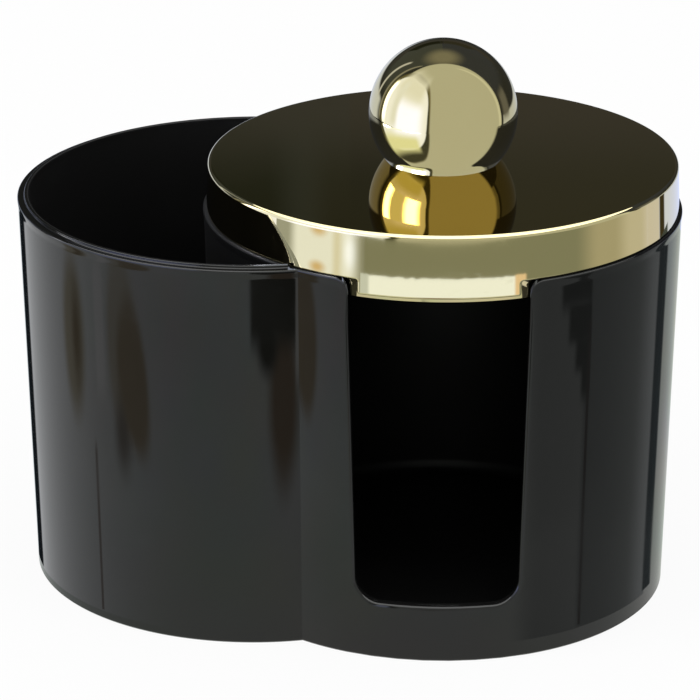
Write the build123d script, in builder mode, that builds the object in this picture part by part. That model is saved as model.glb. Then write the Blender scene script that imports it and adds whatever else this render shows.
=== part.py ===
# Two-compartment bathroom storage container with a keyed lift-off lid and a ball knob.
# Millimetres. +Z is up, and z = 0 is the surface that the container stands on.
# The origin is midway between the two cups' axes. +X points from the open cup to the lidded one.

import math
import os

from build123d import *

# Cups: one moulding of two overlapping cups, whose walls lean outwards from base to rim
cup_spacing = 36.3
cup_height = 74.6
rim_radius = 45.0
wall_lean = 1.85
wall = 1.9
floor_thickness = 2.2
floor_fillet = 2.5
rim_edge_radius = 0.4

# Bead round the outside of the rim
bead_proud = 0.3
bead_height = 0.9
bead_slope_height = 0.3

# Underside: a raised floor inside a foot ring
foot_recess_depth = 1.2
foot_ring_width = 2.6
base_edge_chamfer = 0.3

# Window in the lidded cup, open at the rim, turned a little from the front towards +X
window_turn = 10.8
window_sill_height = 11.2
window_sill_width = 29.6
window_rim_width = 32.8
window_corner_radius = 4.5
window_mouth_radius = 2.5
window_edge_radius = 0.35

# Lid: a flat plate with a side skirt, a locating ring inside the cup and a tab in the window
lid_inset = 0.95
lid_side_height = 9.1
lid_plate_thickness = 1.8
lid_top_radius = 1.3
lid_lower_edge_radius = 0.4
ring_clearance = 0.45
ring_depth = 4.3
ring_thickness = 1.5
ring_lead_in = 0.4
tab_side_clearance = 1.7
tab_drop = 2.7
tab_corner_radius = 0.5
lid_boss_radius = 7.0
lid_boss_height = 1.2

# Knob: a ball cut flat where it sits on the lid
ball_radius = 13.9
ball_centre_lift = 9.0
insert_radius = 2.8
insert_interference = 0.05
insert_length = 8.0
insert_recess = 0.3
insert_bore_extra_depth = 2.0

# Screw and washer that hold the knob from under the lid
screw_radius = 2.0
screw_thread_clearance = 0.06
screw_hole_clearance = 0.25
screw_engagement = 7.0
screw_head_radius = 4.0
screw_head_height = 2.4
screw_head_edge_radius = 0.8
screw_recess_arm = 1.15
screw_recess_span = 4.4
screw_recess_depth = 1.3
washer_radius = 5.0
washer_thickness = 0.8
washer_hole_clearance = 0.15

# Places that follow from the driving dimensions
open_cup_x = -cup_spacing / 2
lidded_cup_x = cup_spacing / 2
wall_top_radius = rim_radius - bead_proud
base_radius = wall_top_radius - wall_lean
cavity_top_radius = wall_top_radius - wall
floor_height = foot_recess_depth + floor_thickness
window_mouth_bottom = cup_height - window_mouth_radius
lid_radius = rim_radius - lid_inset
lid_top = cup_height + lid_side_height
lid_underside = lid_top - lid_plate_thickness
ring_radius = cavity_top_radius - ring_clearance
ring_inner_radius = ring_radius - ring_thickness
tab_width = window_rim_width - 2 * tab_side_clearance
tab_bottom = cup_height - tab_drop
boss_face = lid_underside - lid_boss_height
washer_face = boss_face - washer_thickness
insert_face = lid_top + insert_recess
screw_length = insert_face + screw_engagement - washer_face
cut_margin = 5.0


def wall_radius(z):
    """Outside radius of a cup's tapered wall at a height."""
    return base_radius + wall_lean * z / cup_height


def cup_axis(x):
    """Upright axis of the cup that stands at x."""
    return Axis((x, 0, 0), (0, 0, 1))


def cup_profile_plane(x):
    """Upright plane through a cup's axis: its own x is the radius and its y is the height."""
    return Plane(origin=(x, 0, 0), x_dir=(1, 0, 0), z_dir=(0, -1, 0))


def window_plane():
    """Upright plane on the lidded cup's axis that faces out through the window."""
    turn = math.radians(window_turn)
    outward = (math.sin(turn), -math.cos(turn), 0)
    sideways = (math.cos(turn), math.sin(turn), 0)
    return Plane(origin=(lidded_cup_x, 0, 0), x_dir=sideways, z_dir=outward)


def cup_outline():
    """Half section of a cup's outside: edge chamfer, tapered wall, rim bead and rounded rim."""
    bead_bottom = cup_height - bead_height
    slope_bottom = bead_bottom - bead_slope_height
    rim_flat_radius = rim_radius - rim_edge_radius
    rim_side_top = cup_height - rim_edge_radius
    with BuildLine() as outline:
        Polyline(
            (rim_flat_radius, cup_height),
            (0, cup_height),
            (0, 0),
            (wall_radius(0) - base_edge_chamfer, 0),
            (wall_radius(base_edge_chamfer), base_edge_chamfer),
            (wall_radius(slope_bottom), slope_bottom),
            (rim_radius, bead_bottom),
            (rim_radius, rim_side_top),
        )
        RadiusArc((rim_radius, rim_side_top), (rim_flat_radius, cup_height), -rim_edge_radius)
    return outline.line


def cavity_outline():
    """Half section of the space inside a cup: flat floor, rounded corner, draft and rounded mouth."""
    mouth_bottom = cup_height - rim_edge_radius
    mouth_bottom_radius = wall_radius(mouth_bottom) - wall
    mouth_radius = mouth_bottom_radius + rim_edge_radius
    above = cup_height + cut_margin
    side_bottom = floor_height + floor_fillet
    side_bottom_radius = wall_radius(side_bottom) - wall
    with BuildLine() as outline:
        Polyline(
            (mouth_radius, cup_height),
            (mouth_radius, above),
            (0, above),
            (0, floor_height),
            (side_bottom_radius - floor_fillet, floor_height),
        )
        RadiusArc(
            (side_bottom_radius - floor_fillet, floor_height),
            (side_bottom_radius, side_bottom),
            -floor_fillet,
        )
        Line((side_bottom_radius, side_bottom), (mouth_bottom_radius, mouth_bottom))
        RadiusArc((mouth_bottom_radius, mouth_bottom), (mouth_radius, cup_height), rim_edge_radius)
    return outline.line


def add_cup(x):
    """Adds one cup's outside and takes its cavity out. The later cup's wall runs on through the first."""
    with BuildSketch(cup_profile_plane(x)) as outside:
        add(cup_outline())
        make_face()
    revolve(outside.sketch, axis=cup_axis(x))
    with BuildSketch(cup_profile_plane(x)) as cavity:
        add(cavity_outline())
        make_face()
    revolve(cavity.sketch, axis=cup_axis(x), mode=Mode.SUBTRACT)


def cut_foot_recess():
    """Hollows the underside of both cups, so that the container stands on a ring round its outline."""
    recess_radius = wall_radius(0) - foot_ring_width
    with BuildSketch(Plane.XY) as recess:
        with Locations((open_cup_x, 0), (lidded_cup_x, 0)):
            Circle(recess_radius)
    extrude(recess.sketch, amount=foot_recess_depth, mode=Mode.SUBTRACT)


def cut_window():
    """Cuts the tapered window with rounded lower corners and a mouth that rounds over into the rim."""
    mouth_end = window_rim_width / 2 + 2 * window_mouth_radius
    above = cup_height + cut_margin
    with BuildSketch(window_plane()) as opening:
        with BuildLine():
            Polyline(
                (-mouth_end, above),
                (-mouth_end, cup_height),
                (-window_rim_width / 2, cup_height),
                (-window_sill_width / 2, window_sill_height),
                (window_sill_width / 2, window_sill_height),
                (window_rim_width / 2, cup_height),
                (mouth_end, cup_height),
                (mouth_end, above),
                close=True,
            )
        make_face()
        sill_corners = opening.vertices().group_by(Axis.Y)[0]
        fillet(sill_corners, window_corner_radius)
        mouth_corners = opening.vertices().group_by(Axis.Y)[-2].sort_by(Axis.X)[1:-1]
        fillet(mouth_corners, window_mouth_radius)
    extrude(opening.sketch, amount=rim_radius + cut_margin, mode=Mode.SUBTRACT)


def inner_window_edges(cut_edges):
    """The window's edges along its sides and sill on the inside of the wall, below its mouth."""
    below_mouth = cut_edges.filter_by_position(Axis.Z, 0, window_mouth_bottom)
    curved = below_mouth.filter_by(GeomType.LINE, reverse=True)
    return curved.filter_by(lambda edge: is_on_inner_half(edge.position_at(0.5)))


def is_on_inner_half(point):
    """Whether a point lies nearer to the inside of the lidded cup's wall than to its outside."""
    reach = math.hypot(point.X - lidded_cup_x, point.Y)
    return reach < wall_radius(point.Z) - wall / 2


def lid_outline():
    """Half section of the lid: plate, skirt on the rim, ring inside the cup and boss round the screw."""
    ring_bottom = cup_height - ring_depth
    with BuildLine() as outline:
        Polyline(
            (0, lid_top),
            (lid_radius, lid_top),
            (lid_radius, cup_height),
            (ring_radius, cup_height),
            (ring_radius, ring_bottom + ring_lead_in),
            (ring_radius - ring_lead_in, ring_bottom),
            (ring_inner_radius, ring_bottom),
            (ring_inner_radius, lid_underside),
            (lid_boss_radius, lid_underside),
            (lid_boss_radius, boss_face),
            (0, boss_face),
            close=True,
        )
    return outline.line


def tab_long_edges(edges):
    """The outer edges along the skirt's foot and round the tab that hangs from it."""
    low = edges.filter_by_position(Axis.Z, tab_bottom, cup_height)
    return low.filter_by(lambda edge: is_on_lid_side(edge.position_at(0.5)))


def is_on_lid_side(point):
    """Whether a point lies on the lid's outer cylinder."""
    return math.isclose(math.hypot(point.X - lidded_cup_x, point.Y), lid_radius, abs_tol=1e-4)


with BuildPart() as container_body:
    add_cup(open_cup_x)
    add_cup(lidded_cup_x)
    cut_foot_recess()
    cut_window()
    fillet(inner_window_edges(container_body.edges(Select.NEW)), window_edge_radius)


with BuildPart() as lid_cap:
    with BuildSketch(cup_profile_plane(lidded_cup_x)) as lid_section:
        add(lid_outline())
        make_face()
        lid_top_corner = lid_section.vertices().group_by(Axis.Y)[-1].sort_by(Axis.X)[-1]
        fillet(lid_top_corner, lid_top_radius)
    revolve(axis=cup_axis(lidded_cup_x))
    with BuildSketch(Plane.XY.offset(tab_bottom)):
        with Locations((lidded_cup_x, 0)):
            Circle(lid_radius)
            Circle(ring_radius, mode=Mode.SUBTRACT)
            Rectangle(
                tab_width,
                lid_radius + cut_margin,
                rotation=window_turn,
                align=(Align.CENTER, Align.MAX),
                mode=Mode.INTERSECT,
            )
    extrude(amount=tab_drop)
    tab_corners = lid_cap.edges().filter_by(GeomType.LINE).filter_by_position(Axis.Z, tab_bottom, tab_bottom)
    fillet(tab_corners, tab_corner_radius)
    fillet(tab_long_edges(lid_cap.edges()), lid_lower_edge_radius)
    with BuildSketch(Plane.XY.offset(boss_face)):
        with Locations((lidded_cup_x, 0)):
            Circle(screw_radius + screw_hole_clearance)
    extrude(amount=lid_top - boss_face, mode=Mode.SUBTRACT)


with BuildPart() as knob_ball:
    with Locations((lidded_cup_x, 0, lid_top + ball_centre_lift)):
        Sphere(ball_radius)
    split(bisect_by=Plane.XY.offset(lid_top), keep=Keep.TOP)
    with BuildSketch(Plane.XY.offset(lid_top)):
        with Locations((lidded_cup_x, 0)):
            Circle(insert_radius)
    extrude(amount=insert_recess + insert_length + insert_bore_extra_depth, mode=Mode.SUBTRACT)


with BuildPart() as knob_insert:
    with BuildSketch(Plane.XY.offset(insert_face)):
        with Locations((lidded_cup_x, 0)):
            Circle(insert_radius + insert_interference)
            Circle(screw_radius + screw_thread_clearance, mode=Mode.SUBTRACT)
    extrude(amount=insert_length)


with BuildPart() as screw_washer:
    with BuildSketch(Plane.XY.offset(washer_face)):
        with Locations((lidded_cup_x, 0)):
            Circle(washer_radius)
            Circle(screw_radius + washer_hole_clearance, mode=Mode.SUBTRACT)
    extrude(amount=washer_thickness)


with BuildPart() as knob_screw:
    with BuildSketch(Plane.XY.offset(washer_face - screw_head_height)):
        with Locations((lidded_cup_x, 0)):
            Circle(screw_head_radius)
    extrude(amount=screw_head_height)
    fillet(knob_screw.edges().group_by(Axis.Z)[0], screw_head_edge_radius)
    with BuildSketch(Plane.XY.offset(washer_face - screw_head_height)):
        with Locations((lidded_cup_x, 0)):
            Rectangle(screw_recess_span, screw_recess_arm)
            Rectangle(screw_recess_arm, screw_recess_span)
    extrude(amount=screw_recess_depth, mode=Mode.SUBTRACT)
    with BuildSketch(Plane.XY.offset(washer_face)):
        with Locations((lidded_cup_x, 0)):
            Circle(screw_radius)
    extrude(amount=screw_length)


pieces = {
    "container_body": container_body,
    "lid_cap": lid_cap,
    "knob_ball": knob_ball,
    "knob_insert": knob_insert,
    "screw_washer": screw_washer,
    "knob_screw": knob_screw,
}

os.makedirs("parts", exist_ok=True)
for name, piece in pieces.items():
    piece.part.label = name
    export_step(piece.part, f"parts/{name}.step")
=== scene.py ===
"""Dresses the bathroom container: gloss black twin cups, a plated keyed lid and its ball knob.

Sizes are in millimetres, as in the solid model, and each mesh is written in metres.
The axes, the heights and the window are the solid model's own. The bead, the lip and the lid's side
depart from it by about half a millimetre at most.
"""

import logging
import math
from collections.abc import Iterable, Mapping, Sequence
from dataclasses import dataclass, field
from enum import Enum

import bmesh
import bpy
import numpy as np
from mathutils import Matrix, Vector


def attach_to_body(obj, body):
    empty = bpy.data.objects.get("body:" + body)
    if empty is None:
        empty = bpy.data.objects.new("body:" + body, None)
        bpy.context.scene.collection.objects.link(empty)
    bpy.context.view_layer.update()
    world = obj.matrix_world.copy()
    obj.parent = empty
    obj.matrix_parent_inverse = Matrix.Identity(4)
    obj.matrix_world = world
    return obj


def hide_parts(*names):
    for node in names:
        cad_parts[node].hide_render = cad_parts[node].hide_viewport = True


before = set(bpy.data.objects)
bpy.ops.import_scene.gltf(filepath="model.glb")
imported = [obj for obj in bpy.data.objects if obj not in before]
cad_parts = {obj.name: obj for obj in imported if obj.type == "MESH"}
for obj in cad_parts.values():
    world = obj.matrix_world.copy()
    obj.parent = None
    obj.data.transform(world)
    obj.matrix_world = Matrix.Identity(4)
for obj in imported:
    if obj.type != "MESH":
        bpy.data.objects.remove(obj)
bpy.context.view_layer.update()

MM = 0.001
WELD_DIGITS = 5  # decimals of a millimetre to which a mesh's points are welded
WELD_DISTANCE = 2e-6  # metres, in a turned shape
SHARP_ANGLE = math.radians(35.0)  # least angle of a turned shape's sharp corners
ROUND_STEPS = 4  # steps round each small rounding
FEW_STEPS = 5  # steps over the short stretches of the cups' walls
CAMERA_AZIMUTH = 12.773  # degrees, turned from -Y towards +X
ONE_MIRROR, TWO_MIRRORS = 0.5, 1.5  # Glossy Depth is over these after so many mirrors
WHITE = (1.0, 1.0, 1.0, 1.0)
UP = np.array((0.0, 0.0, 1.0))
log = logging.getLogger("container")

Array = np.ndarray
Socket = bpy.types.NodeSocket
Material = bpy.types.Material
Object = bpy.types.Object
NodeOutputs = bpy.types.NodeOutputs
Link = Socket | float | int | bool | tuple
Colour = Place = tuple[float, float, float]


class Body(Enum):
    """The two bodies that the pieces ride on."""

    CONTAINER = "container"
    LID = "lid"


class Slot(Enum):
    """The record's material slots."""

    BLACK_GLOSS = "black_gloss"
    GOLD_PLATE = "gold_plate"
    INSERT_BRASS = "insert_brass"
    ZINC_STEEL = "zinc_steel"


def unit(vectors: Array) -> Array:
    """Scales vectors, held along the last axis, to unit length."""
    return vectors / np.linalg.norm(vectors, axis=-1, keepdims=True)


def shares(steps: int) -> Array:
    """Shares from 0 to 1 in equal steps, both ends included."""
    return np.linspace(0.0, 1.0, steps + 1)


def smooth_step(share: Array) -> Array:
    """Eases a share from 0 to 1, flat at both ends."""
    held = np.clip(share, 0.0, 1.0)
    return held * held * (3.0 - 2.0 * held)


def straight_rows(start: tuple[float, float], stop: tuple[float, float], steps: int = 1) -> Array:
    """Rows of a section along a straight stretch, walked with the material on the left.

    Args:
        start: Radius and height of the first row.
        stop: Radius and height of the last row.
        steps: Number of equal steps.

    Returns:
        One row each of radius, height, and the normal's radial and upright parts.
    """
    run, rise = stop[0] - start[0], stop[1] - start[1]
    length = math.hypot(run, rise)
    share = shares(steps)
    out, up = (np.full_like(share, part / length) for part in (rise, -run))
    return np.column_stack((start[0] + run * share, start[1] + rise * share, out, up))


def arc_rows(
    centre: tuple[float, float], radius: float, start: float, stop: float, steps: int
) -> Array:
    """Rows of a section along an arc, walked with the material on the left.

    Args:
        centre: Radius and height of the arc's centre.
        radius: The arc's own radius.
        start: Angle of the first row, in degrees from the outward direction towards up.
        stop: Angle of the last row.
        steps: Number of equal steps.

    Returns:
        One row each of radius, height, and the normal's radial and upright parts.
    """
    angle = np.radians(np.linspace(start, stop, steps + 1))
    side = math.copysign(1.0, stop - start)
    along, up = np.cos(angle), np.sin(angle)
    spoke = np.column_stack((along, up))
    return np.hstack((np.array(centre) + radius * spoke, side * spoke))


def straight_runs(corners: Sequence[tuple[float, float]], steps: Sequence[int]) -> list[Array]:
    """Rows of a section from corner to corner.

    Args:
        corners: Radius and height of each corner.
        steps: Number of steps of each stretch.

    Returns:
        The rows of each stretch.
    """
    return [straight_rows(*ends) for ends in zip(corners, corners[1:], steps)]


def eased_corner(
    start: Array, corner: Array, stop: Array, first: Array, last: Array
) -> tuple[Array, Array]:
    """Rounds the corner between two surfaces with a conic that is tangent to both.

    Args:
        start: Points where the rounding leaves the first surface.
        corner: Points of the sharp corner.
        stop: Points where the rounding meets the second surface.
        first: Normals of the first surface.
        last: Normals of the second surface.

    Returns:
        The rows of points and of normals, first and last rows included.
    """
    weight = math.sqrt(0.5)  # of a quarter circle
    share = shares(ROUND_STEPS)[:, None, None]
    rest = 1 - share
    near, middle, far = rest**2, 2 * weight * share * rest, share**2
    points = (near * start + middle * corner + far * stop) / (near + middle + far)
    return points, unit(first * rest + last * share)


@dataclass(frozen=True)
class PathCorner:
    """A corner of a path that is rounded by an arc."""

    x: float  # place across
    y: float  # place upwards
    radius: float = 0.0  # radius of the arc, or 0 at the path's ends


def rounded_path(
    corners: Sequence[PathCorner], spacing: float, arc_steps: int
) -> tuple[Array, ...]:
    """Walks a path of straight runs joined by tangent arcs.

    Args:
        corners: The path's corners, its two ends included.
        spacing: Longest step along a straight run.
        arc_steps: Number of steps round each arc.

    Returns:
        The points, their unit tangents, and for each point the number of the stretch that it ends.
    """
    places = np.array([(c.x, c.y) for c in corners])
    legs = unit(np.diff(places, axis=0))
    points, tangents, stretches = [places[0]], [legs[0]], [0]

    def add_run(stop: Array, leg: Array, number: int) -> None:
        """Adds a straight run that ends at a point.

        Args:
            stop: The point.
            leg: The run's unit tangent.
            number: The stretch's number.
        """
        start = points[-1]
        steps = max(1, math.ceil(float(np.linalg.norm(stop - start)) / spacing))
        for share in shares(steps)[1:]:
            points.append(start + (stop - start) * share)
            tangents.append(leg)
            stretches.append(number)

    for number in range(1, len(corners) - 1):
        before, after, radius = legs[number - 1], legs[number], corners[number].radius
        turn = math.atan2(before[0] * after[1] - before[1] * after[0], float(before @ after))
        reach = radius * math.tan(abs(turn) / 2)
        add_run(places[number] - before * reach, before, 2 * number - 2)
        inward = math.copysign(1.0, turn) * np.array((-before[1], before[0]))
        centre = points[-1] + inward * radius
        spoke = points[-1] - centre
        for angle in np.linspace(0.0, turn, arc_steps + 1)[1:]:
            along, across = math.cos(angle), math.sin(angle)
            spin = np.array(((along, -across), (across, along)))
            points.append(centre + spin @ spoke)
            tangents.append(spin @ before)
            stretches.append(2 * number - 1)
    add_run(places[-1], legs[-1], 2 * len(corners) - 4)
    return np.array(points), np.array(tangents), np.array(stretches)


class SurfaceMesh:
    """Gathers grids of points with their exact normals and welds them into one mesh."""

    def __init__(self) -> None:
        """Starts with no grids."""
        self._points: list[Array] = []
        self._normals: list[Array] = []
        self._quads: list[Array] = []
        self._count = 0

    def add(self, points: Array, normals: Array) -> None:
        """Adds a grid of quads.

        Args:
            points: Points as rows, columns and three places.
            normals: The surface's unit normals at those points.
        """
        rows, columns = points.shape[:2]
        index = np.arange(rows * columns).reshape(rows, columns) + self._count
        corners = (index[:-1, :-1], index[:-1, 1:], index[1:, 1:], index[1:, :-1])
        quads = np.stack(corners, -1).reshape(-1, 4)
        self._points.append(points.reshape(-1, 3))
        self._normals.append(np.broadcast_to(normals, points.shape).reshape(-1, 3))
        self._quads.append(quads)
        self._count += rows * columns

    def build(self, name: str, finish: Material) -> Object:
        """Turns each quad to the side of its normals, welds the grids and makes the object.

        Args:
            name: Name of the piece.
            finish: The piece's material.

        Returns:
            The new object, with its exact normals kept at each face corner.
        """
        points, normals = np.concatenate(self._points), np.concatenate(self._normals)
        faces = np.concatenate(self._quads)
        a, b, c, d = (points[faces[:, n]] for n in range(4))
        facing = np.cross(c - a, d - b)
        wrong = np.einsum("ij,ij->i", facing, normals[faces].sum(axis=1)) < 0
        faces[wrong] = faces[wrong][:, ::-1]
        keys = np.round(points, WELD_DIGITS) + 0.0
        _, first, welded = np.unique(keys, axis=0, return_index=True, return_inverse=True)
        welded = welded.ravel()
        corners: list[list[int]] = []
        corner_normals: list[Array] = []
        for face in faces:
            kept = [i for n, i in enumerate(face) if welded[i] != welded[face[n - 1]]]
            if len({int(welded[i]) for i in kept}) > 2:
                corners.append([int(welded[i]) for i in kept])
                corner_normals.extend(normals[kept])
        mesh = bpy.data.meshes.new(name)
        mesh.from_pydata((points[first] * MM).tolist(), [], corners)
        mesh.polygons.foreach_set("use_smooth", [True] * len(mesh.polygons))
        mesh.normals_split_custom_set(np.array(corner_normals).tolist())
        mesh.update()
        mesh.materials.append(finish)
        made = bpy.data.objects.new(name, mesh)
        bpy.context.scene.collection.objects.link(made)
        return made


def lathe(mesh: SurfaceMesh, axis_x: float, rows: Array, angles: Array) -> None:
    """Turns a section's rows about an upright axis.

    Args:
        mesh: Mesh to add to.
        axis_x: Place of the axis along X.
        rows: Section rows, as straight_rows gives them.
        angles: Angles of the columns in radians: one list for all rows, or a list for each row.
    """
    angles = np.broadcast_to(angles, (len(rows), np.shape(angles)[-1]))
    radius, height, out, up = (rows[:, n, None] for n in range(4))
    along, across = np.cos(angles), np.sin(angles)
    points = np.stack((axis_x + radius * along, radius * across, height + 0 * angles), -1)
    normals = unit(np.stack((out * along, out * across, up + 0 * angles), -1))
    mesh.add(points, normals)


@dataclass(frozen=True)
class Wall:
    """One side of a round wall that leans evenly outwards as it rises."""

    axis_x: float  # place of the wall's axis along X
    foot_radius: float  # radius at height 0
    lean: float = 0.0  # radius gained for each unit of height
    facing: int = 1  # 1 for the outside and -1 for the inside

    def radius(self, height: Array | float) -> Array | float:
        """Radius at a height."""
        return self.foot_radius + self.lean * height

    def points(self, angle: Array, height: Array, lift: Array | float = 0.0) -> Array:
        """Points on the wall.

        Args:
            angle: Their angles about the axis.
            height: Their heights.
            lift: How far they stand out of the wall.

        Returns:
            The points.
        """
        reach = self.radius(height) + lift
        along, across = self.axis_x + reach * np.cos(angle), reach * np.sin(angle)
        return np.stack(np.broadcast_arrays(along, across, height), -1)

    def normals(self, angle: Array) -> Array:
        """Unit normals at angles about the axis."""
        upright = np.full_like(angle, -self.lean)
        return self.facing * unit(np.stack((np.cos(angle), np.sin(angle), upright), -1))

    def rows(self, heights: Array) -> Array:
        """Section rows of the wall.

        Args:
            heights: Their heights.

        Returns:
            The rows, as straight_rows gives them.
        """
        slope = math.hypot(1.0, self.lean)
        out = np.full_like(heights, self.facing / slope)
        return np.column_stack((self.radius(heights), heights, out, -self.lean * out))


@dataclass(frozen=True)
class Bead:
    """The low bead under a rim's outer edge, drawn as a soft swelling."""

    proud: float = 0.12  # how far it stands out of the wall
    full_depth: float = 0.35  # depth under the rim down to which it is full
    end_depth: float = 1.8  # depth under the rim where it has faded into the wall
    steps: int = 8  # number of steps over its soft lower side

    def depths(self) -> Array:
        """Depths of the rows over the bead's soft side, from the wall up."""
        return np.linspace(self.end_depth, self.full_depth, self.steps + 1)

    def lift(self, depth: Array | float) -> Array | float:
        """Height of the bead over the wall at a depth."""
        span = self.end_depth - self.full_depth
        return self.proud * smooth_step((self.end_depth - depth) / span)

    def slope(self, depth: Array | float) -> Array | float:
        """How steeply the bead falls towards the wall.

        Args:
            depth: Depth under the rim.

        Returns:
            The fall for each unit of depth.
        """
        span = self.end_depth - self.full_depth
        share = np.clip((self.end_depth - depth) / span, 0.0, 1.0)
        return self.proud * 6.0 * share * (1.0 - share) / span


@dataclass
class FreeEdge:
    """A wall's free edge, which runs along a rim and round an opening or a tab."""

    outer: Wall  # the wall's outside
    inner: Wall  # the surface on the other side of the edge
    facing_angle: float  # direction that the opening or tab faces, in radians about the axis
    path: Array  # points of the edge, across and up, seen from the front
    tangents: Array  # unit tangents of the path, with the wall's material on their right
    # for each point, 0 where the edge's top runs to the axis and 1 where it runs straight back
    square: Array
    fade: Array  # for each point, how much of the bead is left
    edge_radius: Array | float  # size of the outer edge's rounding, all along or for each point
    bead: Bead
    inner_radius: float = 0.0  # size of the inner edge's rounding, or 0 where it is sharp
    row_gap: float = 0.02  # least distance between the rows that come before the rounding
    top_steps: int = 2  # number of steps across the edge's top
    # angles and heights of the line where the strip ends on the outside
    outer_line: Array = field(init=False)
    inner_line: Array = field(init=False)  # the same on the other side

    def edge_angle(self, wall: Wall) -> Array:
        """Angles about the axis of the edge's points.

        Args:
            wall: The wall that they lie on.

        Returns:
            The angle of each point.
        """
        across, height = self.path.T
        lift = self.bead.proud * self.fade if wall is self.outer else 0.0
        straight = np.arcsin(across / (wall.radius(height) + lift))
        if wall is self.outer:
            return self.facing_angle + straight
        outer_turn = self.edge_angle(self.outer) - self.facing_angle
        return self.facing_angle + outer_turn * (1 - self.square) + straight * self.square

    def offset(self, wall: Wall, depth: Array | float) -> tuple[Array, Array, Array]:
        """Places a little into the wall from the edge.

        Args:
            wall: The wall that they lie on.
            depth: Distance from the edge along the wall.

        Returns:
            Their angles, their heights, and the unit directions away from the edge.
        """
        angle = self.edge_angle(wall)
        turn = angle - self.facing_angle
        along = self.tangents[:, 0] / np.cos(turn)
        along, rise = unit(np.column_stack((along, self.tangents[:, 1]))).T
        height = self.path[:, 1]
        new_angle = angle + depth * rise / wall.radius(height)
        around = np.stack((-np.sin(new_angle), np.cos(new_angle), np.zeros_like(new_angle)), -1)
        away = around * rise[:, None] - UP * along[:, None]
        return new_angle, height - depth * along, away

    def add_to(self, mesh: SurfaceMesh) -> None:
        """Adds the strip of surface that wraps the edge and keeps the two lines where it ends.

        Args:
            mesh: Mesh to add to.
        """
        points, normals = [], []
        radius = np.broadcast_to(self.edge_radius, len(self.path))
        depths = (*self.bead.depths(), 0.0)
        for number, row_depth in enumerate(depths, start=1):
            depth = np.maximum(row_depth, radius + self.row_gap * (len(depths) - number))
            angle, height, away = self.offset(self.outer, depth)
            points.append(self.outer.points(angle, height, self.bead.lift(depth) * self.fade))
            tilt = (self.bead.slope(depth) * self.fade)[:, None]
            normals.append(unit(self.outer.normals(angle) + tilt * away))
        first_angle, first_height, _ = self.offset(self.outer, self.bead.end_depth)
        self.outer_line = np.column_stack((first_angle, first_height))
        rise, proud = self.path[:, 1], self.bead.proud * self.fade
        outer_edge = self.outer.points(self.edge_angle(self.outer), rise, proud)
        inner_edge = self.inner.points(self.edge_angle(self.inner), rise)
        across = unit(inner_edge - outer_edge)
        sideways = np.array((-math.sin(self.facing_angle), math.cos(self.facing_angle), 0.0))
        top = unit(self.tangents[:, :1] * UP - self.tangents[:, 1:] * sideways)
        near = outer_edge + across * radius[:, None]
        rounded, turned = eased_corner(points[-1], outer_edge, near, normals[-1], top)
        points += list(rounded[1:])
        normals += list(turned[1:])
        far = inner_edge - across * self.inner_radius
        for share in shares(self.top_steps)[1:]:
            points.append(near + (far - near) * share)
            normals.append(top)
        if self.inner_radius:
            angle, height, _ = self.offset(self.inner, self.inner_radius)
            below = self.inner.points(angle, height)
            rounded, turned = eased_corner(far, inner_edge, below, top, self.inner.normals(angle))
            points += list(rounded[1:])
            normals += list(turned[1:])
            self.inner_line = np.column_stack((angle, height))
        else:
            self.inner_line = np.column_stack((self.edge_angle(self.inner), rise))
        mesh.add(np.array(points), np.array(normals))


def add_panel(mesh: SurfaceMesh, wall: Wall, first: Array, last: Array, steps: int) -> None:
    """Adds the part of a wall that lies between two lines.

    Args:
        mesh: Mesh to add to.
        wall: The wall.
        first: Angles and heights along the first line.
        last: Angles and heights along the second line, as many as on the first.
        steps: Number of steps from line to line.
    """
    share = shares(steps)[:, None]
    angle = first[:, 0] + (last[:, 0] - first[:, 0]) * share
    height = first[:, 1] + (last[:, 1] - first[:, 1]) * share
    mesh.add(wall.points(angle, height), wall.normals(angle))


def round_from(start: Array | float, share: Array) -> Array:
    """Angles round an axis, from a start that is mirrored across X to its mirror image."""
    return start + (math.tau - 2 * start) * share


def path_shares(path: Array) -> Array:
    """Share of a path's length that lies before each of its points."""
    lengths = np.concatenate(((0.0,), np.cumsum(np.linalg.norm(np.diff(path, axis=0), axis=1))))
    return lengths / lengths[-1]


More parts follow.
